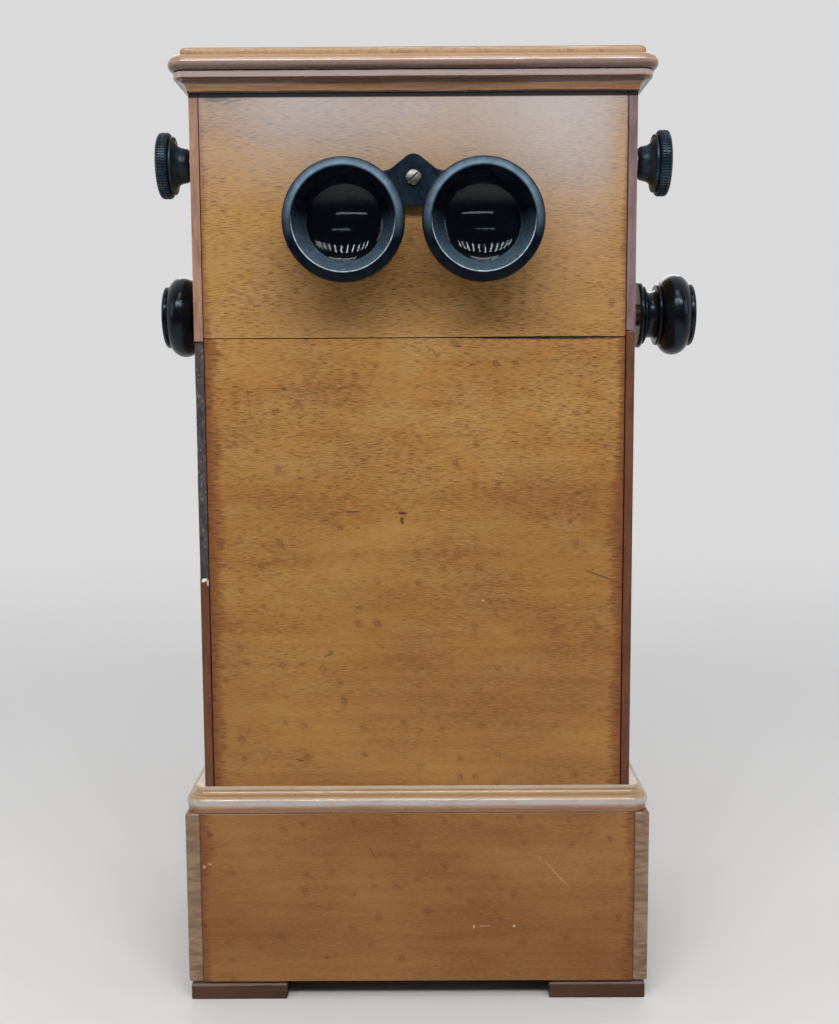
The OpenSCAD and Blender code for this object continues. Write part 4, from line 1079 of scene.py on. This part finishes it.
# Every tooth spans two of four steps round the rim
def addFocusKnobs(k):
    around = k["teeth"] * 4
    for side, name in ((-1, "focus_knob_left"), (1, "focus_knob_right")):
        place = (side * k["inner"], k["y"], k["z"])
        piece = turnPiece(wholeProfile(k), place, (side, 0, 0), around)
        bpy.ops.object.mode_set(mode="EDIT")
        matrix = piece.matrix_world

        def onTooth(co):
            spot = (matrix @ co - bodyPlace) / mm
            along = abs(spot.x) - k["inner"]
            out = math.hypot(spot.y - k["y"], spot.z - k["z"])
            inBand = k["band"][0] < along < k["band"][1] and out > k["rim"] - k["bandDepth"]
            turn = math.degrees(math.atan2(spot.z - k["z"], spot.y - k["y"])) % (360 / k["teeth"])
            step = round(turn * around / 360) % 4
            return inBand and step in (0, 1)

        selectVerts(piece, onTooth)
        shrink = 1 - k["toothDepth"]
        axis = Vector(place) * mm + bodyPlace
        bpy.ops.transform.resize(value=(1, shrink, shrink), center_override=axis)
        bpy.ops.object.mode_set(mode="OBJECT")
        finishPiece(piece, "turned_" + name, knobMetal, name, angle=24)


addFocusKnobs(focusKnob)
print("focus knobs turned")

# Drum knob: flange, bead, hollow neck, ring and the big rounded grip with its stepped face
drumKnob = {
    "y": 0.0,
    "z": 374.9,
    "left": -115.4,
    "right": 131.4,
    "segments": 128,
    "profile": {
        "flange": [(3.3, 0), (18.5, 0), (19.1, 0.2), *arcSteps((18.1, 1.6), 1.4, -20, 60, 5), (17.5, 3),
                   (16.9, 3.2)],
        "bead": [*arcSteps((16.5, 4.1), 0.8, -70, 80, 5), (15.1, 5)],
        "neck": [*arcSteps((18.1, 8.1), 4.6, 222, 140, 10), (15.4, 11.2), (16.1, 11.3)],
        "ring": [*arcSteps((16.8, 12.5), 1.35, -70, 62, 7), (17.3, 13.75), (18, 13.9)],
        "grip": arcSteps((14.9, 22.1), 8.8, -66, 66, 22, 8.7571),
        "rim": [(18.1, 30.3), *arcSteps((16.7, 31.5), 1.7, -22, 66, 6)],
        "face": [(15.5, 33.2), (11.7, 33.6), (0.5, 34)],
    },
}


def addDrumKnobs(k):
    pieces = []
    for side, start in ((-1, k["left"]), (1, k["right"])):
        place = (start, k["y"], k["z"])
        pieces.append(turnPiece(wholeProfile(k), place, (side, 0, 0), k["segments"]))
    makeActive(pieces[0])
    pieces[1].select_set(True)
    bpy.ops.object.join()
    finishPiece(pieces[0], "turned_drum_knobs", ebonite, "drum_knobs", angle=40)


addDrumKnobs(drumKnob)
print("drum knobs turned")


# Studio: a pale floor that runs out into a pale backdrop, a row of tall lamps above the camera,
# a low card for the varnish, and weak lamps at the sides and behind
studio = {
    "floor": (0.58, 0.575, 0.57),
    "behind": (0.70, 0.70, 0.705),
    "before": (0.026, 0.040, 0.060),
    "turnsPale": (-0.6, 0.05),
    "floorSize": 40,
    "horizon": (0.35, 1.7),
    "row": {"count": 11, "pitch": 0.185, "y": -1.25, "z": 1.36, "aim": (0, -0.1, 0.3),
            "size": (0.05, 0.34), "power": 2.35},
    "lamps": [
        {"name": "card", "at": (0.0, -1.75, 0.80), "aim": (0, -0.1, 0.45), "size": (0.66, 0.045),
         "power": 0.3, "color": (0.86, 0.93, 1.0)},
        {"name": "top", "at": (0.0, -0.7, 1.7), "aim": (0, -0.1, 0.3), "size": (0.9, 0.4), "power": 5},
        {"name": "left", "at": (-1.7, -0.8, 0.9), "aim": (0, 0, 0.25), "size": (0.7, 0.9), "power": 3.5},
        {"name": "right", "at": (1.7, -0.8, 0.9), "aim": (0, 0, 0.25), "size": (0.7, 0.9), "power": 3.5},
        {"name": "rear", "at": (0.0, 1.7, 1.2), "aim": (0, 0, 0.25), "size": (1.4, 0.8), "power": 8},
    ],
}


def addLamp(name, at, aim, size, power, color=(1, 1, 1)):
    bpy.ops.object.light_add(type="AREA", location=at)
    light = bpy.context.object
    light.name = name
    light.data.shape = "RECTANGLE"
    light.data.size, light.data.size_y = size
    light.data.energy = power
    light.data.color = color
    light.rotation_euler = (Vector(aim) - Vector(at)).to_track_quat("-Z", "Y").to_euler()


# The room is pale behind and beside the viewer and dark in front of it, as its glass and black
# parts show; the camera sees it pale all round
def roomColor(mat, s, direction, seen):
    away = remap(mat, axesOf(mat, direction)[1], *s["turnsPale"], 0, 1, True)
    return blendColor(mat, calc(mat, "MAXIMUM", away, seen), s["before"], s["behind"])


# The floor's far part takes the room's colour, so no horizon shows
def floorFinish(s):
    mat, bsdf = startMaterial("floorPaper", Base_Color=(*s["floor"], 1), Roughness=0.7)
    point = addNode(mat, "ShaderNodeTexCoord").outputs["Object"]
    away = addNode(mat, "ShaderNodeVectorMath", {0: point}, operation="LENGTH").outputs["Value"]
    rays = addNode(mat, "ShaderNodeLightPath").outputs
    mirrored = calc(mat, "MAXIMUM", rays["Is Glossy Ray"], rays["Is Transmission Ray"])
    seen = calc(mat, "MAXIMUM", rays["Is Camera Ray"], mirrored)
    far = times(mat, remap(mat, away, *s["horizon"], 0, 1, True), seen)
    direction = addNode(mat, "ShaderNodeVectorMath", {0: point}, operation="NORMALIZE").outputs[0]
    room = roomColor(mat, s, direction, rays["Is Camera Ray"])
    paper = addNode(mat, "ShaderNodeEmission", {"Color": room, "Strength": 1.0}).outputs[0]
    mixed = addNode(mat, "ShaderNodeMixShader", {0: far, 1: bsdf.outputs[0], 2: paper}).outputs[0]
    mat.node_tree.links.new(mixed, mat.node_tree.nodes["Material Output"].inputs["Surface"])
    return mat


def addStudio(s):
    deselectAll()
    bpy.ops.mesh.primitive_plane_add(size=s["floorSize"], location=(0, 0, 0))
    floor = bpy.context.object
    floor.name = "floor"
    floor.data.materials.append(floorFinish(s))
    world = bpy.data.worlds.new("studioWorld")
    world.use_nodes = True
    background = world.node_tree.nodes["Background"]
    direction = addNode(world, "ShaderNodeTexCoord").outputs["Generated"]
    seen = addNode(world, "ShaderNodeLightPath").outputs["Is Camera Ray"]
    world.node_tree.links.new(roomColor(world, s, direction, seen), background.inputs["Color"])
    bpy.context.scene.world = world
    for lamp in s["lamps"]:
        addLamp(**lamp)
    row = s["row"]
    for i in range(row["count"]):
        x = (i - (row["count"] - 1) / 2) * row["pitch"]
        addLamp(f"row_{i + 1}", (x, row["y"], row["z"]), row["aim"], row["size"], row["power"])


addStudio(studio)
print("studio set")
